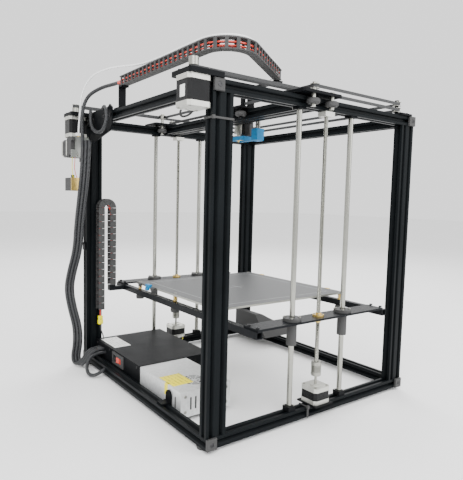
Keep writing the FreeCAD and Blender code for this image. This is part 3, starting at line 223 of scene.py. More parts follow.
def anodised_bar(name):
    """Black anodised extrusion: drawn lines along the bar and a dull grey bloom."""
    made = Finish(name)
    grain = made.noise(900.0, 5.0, (0.2, 0.2, 0.02))
    bloom = made.noise(14.0, 3.0)
    return made.finish(Base_Color=made.tint(bloom, colours().bar, 0.7, 1.7),
                       Roughness=0.27 + 0.16 * grain, Metallic=0.0,
                       Normal=made.bumps(grain, 0.12), Specular_IOR_Level=DULL_BLACK)


def powder_coat(name, tone, rough=0.42, depth=0.18):
    """Powder coat: a fine orange peel with slight changes of gloss."""
    made = Finish(name)
    peel = made.noise(1400.0, 2.0)
    cloud = made.noise(22.0, 3.0)
    return made.finish(Base_Color=made.tint(cloud, tone, 0.8, 1.35),
                       Roughness=rough - 0.08 + 0.16 * cloud, Normal=made.bumps(peel, depth),
                       Specular_IOR_Level=DULL_BLACK)


def moulded(name, tone, rough=0.45):
    """Moulded plastic with a fine spark texture."""
    made = Finish(name)
    spark = made.noise(2300.0, 3.0)
    flow = made.noise(30.0, 2.0)
    return made.finish(Base_Color=made.tint(flow, tone, 0.85, 1.25),
                       Roughness=rough + 0.12 * spark, Normal=made.bumps(spark, 0.22),
                       Specular_IOR_Level=0.12)


def printed(name, tone):
    """Printed plastic with its layer lines."""
    made = Finish(name)
    layers = (made.along("Z") * 15700.0).wave()
    cloud = made.noise(40.0, 2.0)
    return made.finish(Base_Color=made.tint(cloud, tone, 0.8, 1.2),
                       Roughness=0.36 + 0.08 * layers, Normal=made.bumps(layers, 0.35, 0.0002),
                       Specular_IOR_Level=0.25)


def ground_steel(name):
    """Ground rod: bright, with faint turned rings."""
    made = Finish(name)
    rings = made.noise(600.0, 4.0, (0.1, 0.1, 3.0))
    smear = made.noise(9.0, 3.0)
    return made.finish(Base_Color=made.tint(smear, colours().steel, 0.82, 1.1), Metallic=1.0,
                       Roughness=0.16 + 0.14 * rings, Normal=made.bumps(rings, 0.05))


def bare_metal(name, tone, rough=0.3, metallic=1.0):
    """Cast or machined metal: fine grain and dull patches."""
    made = Finish(name)
    grain = made.noise(1100.0, 5.0)
    patch = made.noise(60.0, 3.0)
    return made.finish(Base_Color=made.tint(patch, tone, 0.82, 1.12), Metallic=metallic,
                       Roughness=rough + 0.18 * grain, Normal=made.bumps(grain, 0.14))


def motor_core(name):
    """Stacked laminations under black paint."""
    made = Finish(name)
    stack = (made.along("Z") * 12500.0).wave()
    worn = made.noise(50.0, 4.0)
    return made.finish(Base_Color=made.tint(worn, colours().plastic, 0.9, 2.2), Roughness=0.34 + 0.1 * worn,
                       Normal=made.bumps(stack, 0.4, 0.0002), Specular_IOR_Level=0.15)


def zinc_sheet(name):
    """Galvanised sheet with its crystal pattern, folded and wiped."""
    made = Finish(name)
    spangle = made.cells(150.0)
    wipe = made.noise(12.0, 4.0, (1.0, 6.0, 1.0))
    return made.finish(Base_Color=made.tint(spangle, colours().sheet, 0.9, 1.1), Metallic=0.55,
                       Roughness=0.3 + 0.16 * wipe, Normal=made.bumps(spangle, 0.05))


def build_surface(name):
    """Textured build sheet with a plain printed square and centre lines."""
    made = Finish(name)
    grit = made.noise(1700.0, 5.0)
    scuff = made.noise(7.0, 5.0, (1.0, 1.8, 1.0))
    low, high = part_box("bed_plate")
    middle = (low + high) / 2
    x = (made.along("X") - middle.x).size()
    y = (made.along("Y") - middle.y).size()
    outer, inner, cross_line, cross_reach = 0.1502, 0.149, 0.0006, 0.02
    square = x.below(outer) * y.below(outer) - x.below(inner) * y.below(inner)
    lines = (x.below(cross_line) + y.below(cross_line)).above(0.5)
    mark = (square + lines * x.below(cross_reach) * y.below(cross_reach)).above(0.5)
    tone = made.mix(mark * 0.55, made.tint(scuff, colours().bed, 0.75, 1.3), (0.6, 0.62, 0.62))
    return made.finish(Base_Color=tone, Roughness=0.36 + 0.2 * grit, Normal=made.bumps(grit, 0.4),
                       Specular_IOR_Level=0.4)


def rubber_belt(name):
    """Belt rubber with the fabric of its back showing."""
    made = Finish(name)
    ribs = 3140.0
    weave = (made.along("X") * ribs).wave() * (made.along("Y") * ribs).wave()
    dust = made.noise(25.0, 4.0)
    return made.finish(Base_Color=made.mix(dust, (0.008, 0.0085, 0.009), (0.02, 0.022, 0.024)),
                       Roughness=0.45 + 0.15 * dust, Normal=made.bumps(weave, 0.25))


def braided_sleeve(name):
    """Split sleeve of shiny woven plastic."""
    made = Finish(name)
    strands = 1900.0
    first = ((made.along("Z") + made.along("X")) * strands).wave()
    second = ((made.along("Z") - made.along("X")) * strands).wave()
    weave = first * second
    return made.finish(Base_Color=made.mix(weave * 0.5 + 0.5, (0.006, 0.006, 0.007), (0.04, 0.042, 0.045)),
                       Roughness=0.3 + 0.1 * weave, Normal=made.bumps(weave, 0.6, 0.0006),
                       Specular_IOR_Level=0.35)


def clear_cover(name):
    """Smoked clear plastic."""
    made = Finish(name)
    haze = made.noise(35.0, 3.0)
    return made.finish(Base_Color=made.mix(haze, (0.15, 0.16, 0.15), (0.24, 0.25, 0.23)),
                       Roughness=0.12 + 0.12 * haze, Coat_Weight=0.5 + 0.2 * haze, Alpha=0.85)


def screen_glass(name):
    """Dark glass over an unlit display."""
    made = Finish(name)
    smear = made.noise(18.0, 4.0)
    return made.finish(Base_Color=made.mix(smear, (0.01, 0.012, 0.016), (0.02, 0.024, 0.03)),
                       Roughness=0.05 + 0.1 * smear, Coat_Weight=0.6 + 0.2 * smear)


def label_print(name, tone, ink, rows, axis):
    """A label with plain ruled bands in place of any wording."""
    made = Finish(name)
    fibre = made.noise(800.0, 3.0)
    bands = (made.along(axis) * rows).wave().above(0.55)
    patch = made.noise(120.0, 1.0).above(0.47)
    return made.finish(Base_Color=made.mix(bands * patch * 0.6, tone, ink), Roughness=0.42 + 0.12 * fibre,
                       Normal=made.bumps(fibre, 0.08))


def floor_finish():
    made = Finish("studio_floor")
    cloud = made.noise(3.0, 2.0)
    return made.finish(Base_Color=made.mix(cloud, (0.9, 0.9, 0.9), (0.93, 0.93, 0.93)), Roughness=0.9)


def stock(name):
    """The shared finish of that name, made once."""
    found = bpy.data.materials.get(name)
    if found:
        return found
    tones = colours()
    makers = {
        "anodised_bar": (anodised_bar,),
        "black_coat": (powder_coat, tones.coat),
        "black_plastic": (moulded, tones.plastic),
        # Bed frame plates: the black coat lightened 1.6 times as a painted sheen, with a lower roughness for
        # real gloss.
        "plate_sheen": (powder_coat, shade(tones.coat, 1.6), 0.27, 0.06),
        "ground_steel": (ground_steel,),
        "cast_cap": (bare_metal, tones.cast, 0.36, 0.75),
        "bright_metal": (bare_metal, tones.steel, 0.22),
        "brass": (bare_metal, tones.brass, 0.22),
        "dark_screw": (bare_metal, (0.04, 0.04, 0.042), 0.3, 0.8),
        "motor_core": (motor_core,),
        "zinc_sheet": (zinc_sheet,),
        "build_surface": (build_surface,),
        "rubber_belt": (rubber_belt,),
        "braided_sleeve": (braided_sleeve,),
        "clear_cover": (clear_cover,),
        "screen_glass": (screen_glass,),
        "printed_blue": (printed, tones.blue),
        "red_plastic": (moulded, tones.red, 0.3),
        "yellow_plastic": (moulded, tones.yellow, 0.3),
        "white_tube": (moulded, tones.tube, 0.25),
        "white_plastic": (moulded, (0.72, 0.72, 0.7), 0.4),
        "board_green": (powder_coat, (0.01, 0.13, 0.05), 0.3, 0.05),
        "paper_label": (label_print, tones.paper, (0.2, 0.2, 0.2), 900.0, "Y"),
        "yellow_label": (label_print, tones.yellow, (0.3, 0.22, 0.01), 700.0, "Y"),
    }
    maker, *rest = makers[name]
    return maker(name, *rest)


# ---------------------------------------------------------------- mesh helpers
def piece(name, mesh, finish, body=None, smooth=True):
    """A new object from a bmesh, with its finish, riding on a body if one is given."""
    data = bpy.data.meshes.new(name)
    bmesh.ops.recalc_face_normals(mesh, faces=mesh.faces)
    mesh.to_mesh(data)
    mesh.free()
    made = bpy.data.objects.new(name, data)
    bpy.context.scene.collection.objects.link(made)
    data.materials.append(stock(finish))
    if smooth:
        data.shade_smooth()
        data.set_sharp_from_angle(angle=math.radians(35))
    if body:
        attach(made, body)
    return made


def lathe(mesh, matrix, profile, segments=24):
    """Turn a profile of (radius, height) about Z; a third entry gives a hexagonal ring."""
    rings = []
    for entry in profile:
        radius, height = entry[0], entry[1]
        if radius == 0:
            rings.append([mesh.verts.new(matrix @ Vector((0, 0, height)))])
            continue
        ring = []
        for step in range(segments):
            angle = 2 * math.pi * step / segments
            reach = radius
            if len(entry) > 2:
                local = (angle + math.pi / 6) % (math.pi / 3) - math.pi / 6
                reach = radius * math.cos(math.pi / 6) / math.cos(local)
            place = Vector((reach * math.cos(angle), reach * math.sin(angle), height))
            ring.append(mesh.verts.new(matrix @ place))
        rings.append(ring)
    for lower, upper in zip(rings, rings[1:]):
        for step in range(segments):
            after = (step + 1) % segments
            if len(lower) == 1:
                mesh.faces.new((lower[0], upper[step], upper[after]))
            elif len(upper) == 1:
                mesh.faces.new((lower[step], lower[after], upper[0]))
            else:
                mesh.faces.new((lower[step], lower[after], upper[after], upper[step]))


def looking(place, axis):
    """A matrix at a place whose Z looks along axis."""
    turn = Vector(axis).to_track_quat("Z", "Y").to_matrix().to_4x4()
    return Matrix.Translation(Vector(place)) @ turn


def slab(mesh, low, high, edge=0.0006):
    """A box with rounded edges."""
    low, high = Vector(low), Vector(high)
    made = bmesh.ops.create_cube(mesh, size=1.0)["verts"]
    middle = (low + high) / 2
    span = high - low
    for corner in made:
        corner.co = Vector((corner.co.x * span.x, corner.co.y * span.y, corner.co.z * span.z)) + middle
    edges = list({link for corner in made for link in corner.link_edges})
    width = min(edge, min(span) * 0.45)
    bmesh.ops.bevel(mesh, geom=edges, offset=width, segments=2, affect="EDGES", profile=0.6)


def plates(name, finish, body, anchor, rows):
    """One piece of rounded boxes: two corners in millimetres from an anchor, and an edge."""
    mesh = bmesh.new()
    for row in rows:
        slab(mesh, anchor + Vector(row[:3]) * MM, anchor + Vector(row[3:6]) * MM, row[6] * MM)
    return piece(name, mesh, finish, body)


def screw_head(mesh, place, axis, radius, height):
    """A socket-head screw with its six-sided recess."""
    soft = radius * 0.14
    socket = radius * 0.52
    lathe(mesh, looking(place, axis),
          [(0, 0), (radius, 0), (radius, height - soft), (radius - soft, height),
           (socket, height, "six"), (socket, height * 0.4, "six"), (0, height * 0.35)], 24)


def screws(name, body, places, axis, radius=None, height=None, finish="dark_screw"):
    """A group of like screws on one body."""
    radius = radius or sizes().screw_head
    mesh = bmesh.new()
    for place in places:
        screw_head(mesh, place, axis, radius, height or radius * 0.9)
    return piece(name, mesh, finish, body)


def corner_places(centre, reach):
    """The corners of a level square round a centre."""
    return [Vector(centre) + Vector((i * reach, j * reach, 0)) for i in (-1, 1) for j in (-1, 1)]


def route(name, points, thickness, finish, sides=5):
    """A smooth round cable whose spline has the given points as its control points."""
    data = bpy.data.curves.new(name, "CURVE")
    data.dimensions = "3D"
    line = data.splines.new("NURBS")
    line.points.add(len(points) - 1)
    for point, place in zip(line.points, points):
        point.co = (*place, 1.0)
    line.order_u = 3
    line.use_endpoint_u = True
    line.resolution_u = 8
    data.bevel_depth = thickness / 2
    data.bevel_resolution = sides
    data.use_fill_caps = True
    data.materials.append(stock(finish))
    made = bpy.data.objects.new(name, data)
    bpy.context.scene.collection.objects.link(made)
    return made


def centre_line(made):
    """Points along a route's own line."""
    depth = made.data.bevel_depth
    made.data.bevel_depth = 0.0
    bpy.context.view_layer.update()
    plain = bpy.data.meshes.new_from_object(made.evaluated_get(bpy.context.evaluated_depsgraph_get()))
    made.data.bevel_depth = depth
    line = [vertex.co.copy() for vertex in plain.vertices]
    bpy.data.meshes.remove(plain)
    return line


def line_length(line):
    return sum((b - a).length for a, b in zip(line, line[1:]))


def as_mesh(made):
    """The same piece as a mesh object."""
    bpy.context.view_layer.update()
    data = bpy.data.meshes.new_from_object(made.evaluated_get(bpy.context.evaluated_depsgraph_get()))
    name = made.name
    bpy.data.objects.remove(made)
    data.name = name
    copy = bpy.data.objects.new(name, data)
    bpy.context.scene.collection.objects.link(copy)
    data.shade_smooth()
    return copy


def metres(points):
    """Route points given in millimetres over the rails, as metres over the floor."""
    return [Vector((x * MM, y * MM, (z + FOOT) * MM)) for x, y, z in points]


def hang(name, points, thickness, finish, sides=3, real_length=None):
    """A cord riding on the frame; its length is worked out from its line unless one is stated, and then not
    used.
    """
    places = metres(points)
    made = route(name, places, thickness, finish, sides)
    real_length or line_length(centre_line(made))
    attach(made, "frame")
    return made


def paint(node, finishes, choose=None):
    """Give a CAD node its finishes; choose picks one by a face's centre and normal."""
    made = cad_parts[node]
    made.data.materials.clear()
    for finish in finishes:
        made.data.materials.append(stock(finish))
    for face in made.data.polygons:
        face.material_index = choose(face.center, face.normal) if choose else 0


def loose_copy(node, name, finish, keep=None):
    """A free copy of part of a CAD node's mesh."""
    mesh = bmesh.new()
    mesh.from_mesh(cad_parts[node].data)
    bmesh.ops.remove_doubles(mesh, verts=mesh.verts, dist=1e-6)
    if keep:
        gone = []
        seen = set()
        for start in mesh.verts:
            if start in seen:
                continue
            island = [start]
            seen.add(start)
            for vertex in island:
                for edge in vertex.link_edges:
                    other = edge.other_vert(vertex)
                    if other not in seen:
                        seen.add(other)
                        island.append(other)
            middle = sum((vertex.co for vertex in island), Vector()) / len(island)
            if not keep(middle):
                gone.extend(island)
        bmesh.ops.delete(mesh, geom=gone, context="VERTS")
    return piece(name, mesh, finish)


# ---------------------------------------------------------------- stage
VIEW_ANGLES = (-36.341, -4.939, 1.376)
VIEW_PLACE = (-0.9143, 0.6998, 0.4197)
VIEW_LENS = 38.02
VIEW_SHIFT = (0.0114, 0.0039)
AIR_STRENGTH = 1.5
FLOOR_HALF = 12.0
LAMP_AIM = Vector((0, 0, 0.3))
LAMPS = (("key_light", (-1.6, 1.5, 2.0), 1.6, 75.0),
         ("fill_light", (-1.8, -0.9, 1.3), 1.8, 34.0),
         ("back_light", (1.4, -1.2, 2.1), 1.6, 55.0))


class PrinterStage(bpy.types.Operator):
    """Lay the pale floor, hang the soft lights and set up the camera"""
    bl_idname = "printer.stage"
    bl_label = "Stage"

    def execute(self, context):
        mesh = bmesh.new()
        bmesh.ops.create_grid(mesh, x_segments=2, y_segments=2, size=FLOOR_HALF)
        data = bpy.data.meshes.new("studio_floor")
        mesh.to_mesh(data)
        mesh.free()
        floor = bpy.data.objects.new("studio_floor", data)
        context.scene.collection.objects.link(floor)
        data.materials.append(floor_finish())
        world = bpy.data.worlds.new("studio_air")
        world.use_nodes = True
        world.node_tree.nodes["Background"].inputs[0].default_value = (1.0, 1.0, 1.0, 1.0)
        world.node_tree.nodes["Background"].inputs[1].default_value = AIR_STRENGTH
        context.scene.world = world
        for lamp in LAMPS:
            self.lamp(*lamp)
        self.camera(context)
        return {"FINISHED"}

    def lamp(self, name, place, size, power):
        data = bpy.data.lights.new(name, "AREA")
        data.size = size
        data.energy = power
        lamp = bpy.data.objects.new(name, data)
        lamp.location = place
        lamp.rotation_euler = (LAMP_AIM - Vector(place)).to_track_quat("-Z", "Y").to_euler()
        bpy.context.scene.collection.objects.link(lamp)

    def camera(self, context):
        azimuth, elevation, roll = (math.radians(angle) for angle in VIEW_ANGLES)
        ahead = Vector((math.cos(elevation) * math.cos(azimuth), math.cos(elevation) * math.sin(azimuth),
                        math.sin(elevation)))
        right = ahead.cross(UP).normalized()
        above = right.cross(ahead)
        tilted = right * math.cos(roll) + above * math.sin(roll)
        upright = above * math.cos(roll) - right * math.sin(roll)
        data = bpy.data.cameras.new("camera")
        data.sensor_fit = "HORIZONTAL"
        data.sensor_width = 36.0
        data.lens = VIEW_LENS
        data.shift_x, data.shift_y = VIEW_SHIFT
        data.clip_end = 60.0
        camera = bpy.data.objects.new("camera", data)
        turn = Matrix((tilted, upright, -ahead)).transposed().to_4x4()
        camera.matrix_world = Matrix.Translation(VIEW_PLACE) @ turn
        context.scene.collection.objects.link(camera)
        context.scene.camera = camera


HARNESS = [(77, 255, 656), (115, 256, 658), (165, 268, 656), (202, 286, 640),
           (212, 294, 600), (196, 297, 540), (200, 298, 473), (224, 297, 403),
           (240, 298, 345), (254, 297, 282), (280, 303, 225), (296, 305, 180),
           (280, 302, 135), (256, 297, 92), (254, 297, 50), (266, 299, 14),
           (250, 299, -1), (232, 290, 8), (226, 272, 36), (226, 256, 40), (226, 240.5, 40)]
LOOP = [(212, 272, 615), (206, 276, 585), (176, 279, 560), (132, 279, 552),
        (104, 278, 572), (108, 276, 600), (128, 274, 612), (140, 272, 606)]
FEED_TUBE = [(237, 292, 558), (237, 292, 573), (223, 294, 602), (212, 294, 650), (170, 286, 682),
             (115, 272, 688), (60, 261, 684), (8, 255, 677), (-45, 255, 672), (-100, 254, 671.5),
             (-155, 255, 671), (-205, 255, 671.5), (-248, 253, 671), (-278, 232, 671),
             (-284, 195, 671), (-262, 163, 671)]
DROP_TUBE = [(-262, 163, 671), (-229, 115, 671), (-200, 66, 671.5), (-166, 22, 672),
             (-124, -3, 672), (-80, -9, 670), (-36, -9, 658), (-8, -7, 640), (-8, -7, 608)]
HARNESS_LENGTH = 0.872
LOOP_LENGTH = 0.193
STRANDS_FROM = 5
STRANDS_TURN = -4
STRAND_STEP = (-4.7, -6.3)
TAIL = [(196, 240.5, 34), (196, 252, 35), (196, 268, 34), (193, 284, 26), (182, 294, 10), (164, 296, -1),
        (146, 288, 0), (140, 276, 8), (142, 265.5, 12)]
TOP_FIXED_START = Vector((-0.150, 0.255, 0.663))
TOP_BEND_END = Vector((-0.277, 0.185, 0.663))
TOP_CARRIAGE_END = Vector((-0.181, 0.045, 0.663))


class PrinterCables(bpy.types.Operator):
    """Run the sleeved harness, its loop and the filament tube"""
    bl_idname = "printer.cables"
    bl_label = "Cables"

    def execute(self, context):
        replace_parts(self.sleeve("sleeved_harness", HARNESS, HARNESS_LENGTH), "cable_harness")
        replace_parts(self.sleeve("sleeved_loop", LOOP, LOOP_LENGTH), "cable_loop")
        for strand in (1, 2):
            self.sleeve("sleeved_strand_%d" % strand, self.beside(strand))
        self.sleeve("sleeved_tail", TAIL)
        self.bent("filament_tube", FEED_TUBE, "feed_tube", "frame", "gantry",
                  TOP_FIXED_START, TOP_BEND_END)
        self.bent("filament_drop", DROP_TUBE, "drop_tube", "gantry", "carriage",
                  TOP_BEND_END, TOP_CARRIAGE_END)
        return {"FINISHED"}

    def beside(self, strand):
        """The route of a sleeve that hangs beside the harness and enters the box beside it."""
        step_x, step_y = STRAND_STEP
        hanging = [(x + strand * step_x, y + strand * step_y, z)
                   for x, y, z in HARNESS[STRANDS_FROM:STRANDS_TURN]]
        entering = [(x + strand * 2 * step_x, y, z) for x, y, z in HARNESS[STRANDS_TURN:]]
        return hanging + entering

    def sleeve(self, name, points, real_length=None):
        return hang(name, points, sizes().harness, "braided_sleeve", 5, real_length)

    def bent(self, name, points, node, first, second, start, end):
        places = metres(points)
        made = route(name, places, sizes().feed_tube, "white_tube")
        line = centre_line(made)
        real_length = line_length(line)
        made = as_mesh(made)
        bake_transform(made)
        [tuple(at) for at in line]
        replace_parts(made, node)


# ---------------------------------------------------------------- finishes of the parts
FINISHES = {
    "anodised_bar": ("frame_rails", "corner_posts", "gantry_beam"),
    "black_plastic": ("feet_and_caps", "power_inlet", "supply_fan", "feed_lever", "bed_bearings"),
    "black_coat": ("mounting_plates", "gantry_end_plates", "carriage_plate", "control_box"),
    "ground_steel": ("z_rods",),
    "bright_metal": ("gantry_bolts",),
    "rubber_belt": ("fixed_belts",),
    "red_plastic": ("power_switch",),
    "board_green": ("control_board",),
    "plate_sheen": ("bed_frame",),
    "brass": ("screw_nuts",),
    "printed_blue": ("fan_duct",),
}
SCREW_BEARING_TALL = 0.0095
SCREW_BEARING_HALF = 0.0125
SUPPLY_WALL = 0.001
SUPPLY_LID = 0.0013
BELT_MOTOR_X = 0.2626
BELT_MOTOR_Y = 0.290
BELT_MOTOR_TALL = 0.048
LIFT_X = 0.270
ROD_Y = 0.070
LIFT_MOTOR_TALL = 0.032
LIFT_MOTOR_UNDER = 0.2
FEED_MOTOR_DEEP = 0.040
MOTOR_HALF = 0.02115
MOTOR_CAP = 0.008
SHAFT_PROUD = 0.002
DRIVE_PLATE = 0.008


class PrinterFrame(bpy.types.Operator):
    """Give the bars, rods, motors and plates their finishes"""
    bl_idname = "printer.frame"
    bl_label = "Frame finishes"

    def execute(self, context):
        for finish, nodes in FINISHES.items():
            for node in nodes:
                paint(node, [finish])
        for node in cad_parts:
            if "idler" in node or "pulley" in node:
                paint(node, ["bright_metal"])
            if "wheel" in node:
                paint(node, ["black_plastic"])
        bearing_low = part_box("rod_end_blocks")[1].z - SCREW_BEARING_TALL
        paint("rod_end_blocks", ["black_coat", "cast_cap"],
              lambda at, _: int(at.z > bearing_low and abs(at.y) < SCREW_BEARING_HALF))
        low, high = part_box("power_supply")
        paint("power_supply", ["zinc_sheet", "black_plastic"],
              lambda at, _: int(at.z < high.z - SUPPLY_LID
                                and low.x + SUPPLY_WALL < at.x < high.x - SUPPLY_WALL
                                and low.y + SUPPLY_WALL < at.y < high.y - SUPPLY_WALL))
        self.paint_motors()
        return {"FINISHED"}

    def paint_motors(self):
        """Cast caps at both ends of each motor and the dark core between them."""
        low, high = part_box("motors")
        belt_top = high.z - SHAFT_PROUD
        belt_low = belt_top - BELT_MOTOR_TALL

        def core(value, start, end):
            return int(start + MOTOR_CAP < value < end - MOTOR_CAP)

        def choose(at, _):
            if at.z < LIFT_MOTOR_UNDER:
                return core(at.z, low.z, low.z + LIFT_MOTOR_TALL)
            if at.z > belt_low - 0.0004:
                return core(at.z, belt_low, belt_top)
            return core(at.x, high.x - FEED_MOTOR_DEEP, high.x)
        paint("motors", ["cast_cap", "motor_core"], choose)


# ---------------------------------------------------------------- belts and chains
BELT_RUNS = (("side_belts", "frame", "gantry", 1), ("gantry_belts", "gantry", "carriage", 0))
BELT_SPLIT_X = -0.04
IDLER_REACH = 0.010


class PrinterBelts(bpy.types.Operator):
    """Lay the belt runs that change length as loose copies; their fixed and moving ends are worked out and
    not used
    """
    bl_idname = "printer.belts"
    bl_label = "Belts"

    def execute(self, context):
        for node, first, second, axis in BELT_RUNS:
            low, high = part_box(node)
            level = (low.z + high.z) / 2
            runs = [(side, upper) for side in SIDES for upper in (False, True)]
            for index, (side, upper) in enumerate(runs, 1):
                made = loose_copy(node, "%s_%d" % (node[:-1], index), "rubber_belt",
                                  lambda at: (at.x > BELT_SPLIT_X) == (side > 0) and (at.z > level) == upper)
                start, end = self.ends([vertex.co for vertex in made.data.vertices], axis, side)
                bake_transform(made)
                if index == 1:
                    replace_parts(made, node)
        return {"FINISHED"}

    def ends(self, places, axis, side):
        """The fixed end and the moving end of one run."""
        low_end, high_end = Vector(places[0]), Vector(places[0])
        low_end[axis] = min(place[axis] for place in places)
        high_end[axis] = max(place[axis] for place in places)
        if axis == 1:
            return (high_end, low_end) if low_end.y > 0 else (low_end, high_end)
        if side > 0:
            high_end.x -= IDLER_REACH
            return high_end, low_end
        low_end.x += IDLER_REACH
        return low_end, high_end


TOP_WIRES = ((-0.0042, 0.006, "red_plastic"), (-0.0012, 0.0125, "black_plastic"),
             (0.0018, 0.007, "red_plastic"), (0.0044, 0.0122, "red_plastic"))
TOP_WIRE_THICK = 0.0028
TOP_RUN_Y = 0.255
TOP_RUN_STEPS = 10
TOP_TURN_X = -0.240
TOP_TURN_RADIUS = 0.045
TOP_TURN_SWEEP = 124.4
TOP_TURN_STEPS = 5
TOP_TAIL = 0.168
WIRE_SLACK = 0.0008
BED_SHARE = 0.47
BED_WIRE_THICK = 0.003
BED_WIRES = (-0.005, -0.001, 0.003)
BED_RUN_APART = 0.015


class PrinterChains(bpy.types.Operator):
    """Hang the two cable chains with the wires inside them"""
    bl_idname = "printer.chains"
    bl_label = "Cable chains"

    def execute(self, context):
        made = loose_copy("top_chain_fixed", "top_chain_run", "black_plastic")
        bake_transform(made)
        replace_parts(made, "top_chain_fixed")
        made = loose_copy("top_chain_moving", "top_chain_tail", "black_plastic")
        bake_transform(made)
        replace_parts(made, "top_chain_moving")
        for index, wire in enumerate(TOP_WIRES, 1):
            self.top_wire(index, *wire)
        self.bed_chain()
        return {"FINISHED"}

    def top_wire(self, index, offset, lift, finish):
        """A wire in the top chain: along the rear rail, round the bend and on to the carriage."""
        low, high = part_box("top_chain_fixed")
        z = low.z + lift
        places = []
        for step in range(TOP_RUN_STEPS + 1):
            x = high.x + (TOP_TURN_X - high.x) * step / TOP_RUN_STEPS
            places.append(Vector((x, TOP_RUN_Y + offset, z + WIRE_SLACK * math.sin(2.3 * step + index))))
        centre = Vector((TOP_TURN_X, TOP_RUN_Y - TOP_TURN_RADIUS, z))
        for step in range(1, TOP_TURN_STEPS + 1):
            angle = math.radians(90 + TOP_TURN_SWEEP * step / TOP_TURN_STEPS)
            reach = TOP_TURN_RADIUS + offset
            places.append(centre + Vector((math.cos(angle), math.sin(angle), 0)) * reach)
        wire = as_mesh(route("top_wire_%d" % index, places, TOP_WIRE_THICK, finish, 3))
        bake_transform(wire)
        heading = math.radians(90 + TOP_TURN_SWEEP) + math.pi / 2
        start = places[-1]
        along = Vector((math.cos(heading), math.sin(heading), 0)) * TOP_TAIL
        tail = [start, start + along * 0.3, start + along * 0.65 + UP * WIRE_SLACK, start + along]
        wire = as_mesh(route("top_wire_tail_%d" % index, tail, TOP_WIRE_THICK, finish, 3))
        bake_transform(wire)

    def bed_chain(self):
        """Two halves of the bed chain with their wires; the ends at which each half would share the bed's
        motion are worked out and not used.
        """
        low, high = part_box("bed_chain")
        x, y = (low.x + high.x) / 2, (low.y + high.y) / 2
        foot, bend = low.z, high.z - 0.007
        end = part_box("bed_frame")[0].z + 0.008
        standing = loose_copy("bed_chain", "bed_chain_standing", "black_plastic", lambda at: at.y > y - 0.001)
        hanging = loose_copy("bed_chain", "bed_chain_hanging", "black_plastic", lambda at: at.y <= y - 0.001)
        stand_end = foot + (bend - foot) / BED_SHARE
        hang_start = (bend - BED_SHARE * end) / (1 - BED_SHARE)
        stand = (Vector((x, y, foot)), Vector((x, y, stand_end)))
        hung = (Vector((x, y, hang_start)), Vector((x, y, end)))
        runs = [(standing, stand), (hanging, hung)]
        for index, offset in enumerate(BED_WIRES, 1):
            for name, side_y, low_z, ends in (("standing", y + BED_RUN_APART, foot, stand),
                                              ("hanging", y - BED_RUN_APART, end + 0.01, hung)):
                line = [(x + offset, side_y, low_z + 0.004),
                        (x + offset + 0.001, side_y + 0.001, (low_z + bend) / 2),
                        (x + offset, side_y, bend - 0.014),
                        (x + offset, y, bend)]
                wire = route("bed_wire_%s_%d" % (name, index), [Vector(place) for place in line],
                             BED_WIRE_THICK, "red_plastic", 3)
                runs.append((as_mesh(wire), ends))
        for made, ends in runs:
            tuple(ends[0])
            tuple(ends[1])
            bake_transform(made)
        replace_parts(standing, "bed_chain")


# ---------------------------------------------------------------- lead screws
COUPLER_RISE = 0.0167
COUPLER_TALL = 0.028
COUPLER_RADIUS = 0.00975
COUPLER_CHAMFER = 0.0009
COUPLER_CUTS = 5
COUPLER_CUT_STEP = 0.0026
COUPLER_CUT_DEEP = 0.0028
GRUB_TURNS = (0.9, 2.6)
THREAD_RADIUS = 0.0040
THREAD_DEEP = 0.0009
THREAD_STARTS = 4
THREAD_SEGMENTS = 20
SHAFT_RADIUS = 0.0025


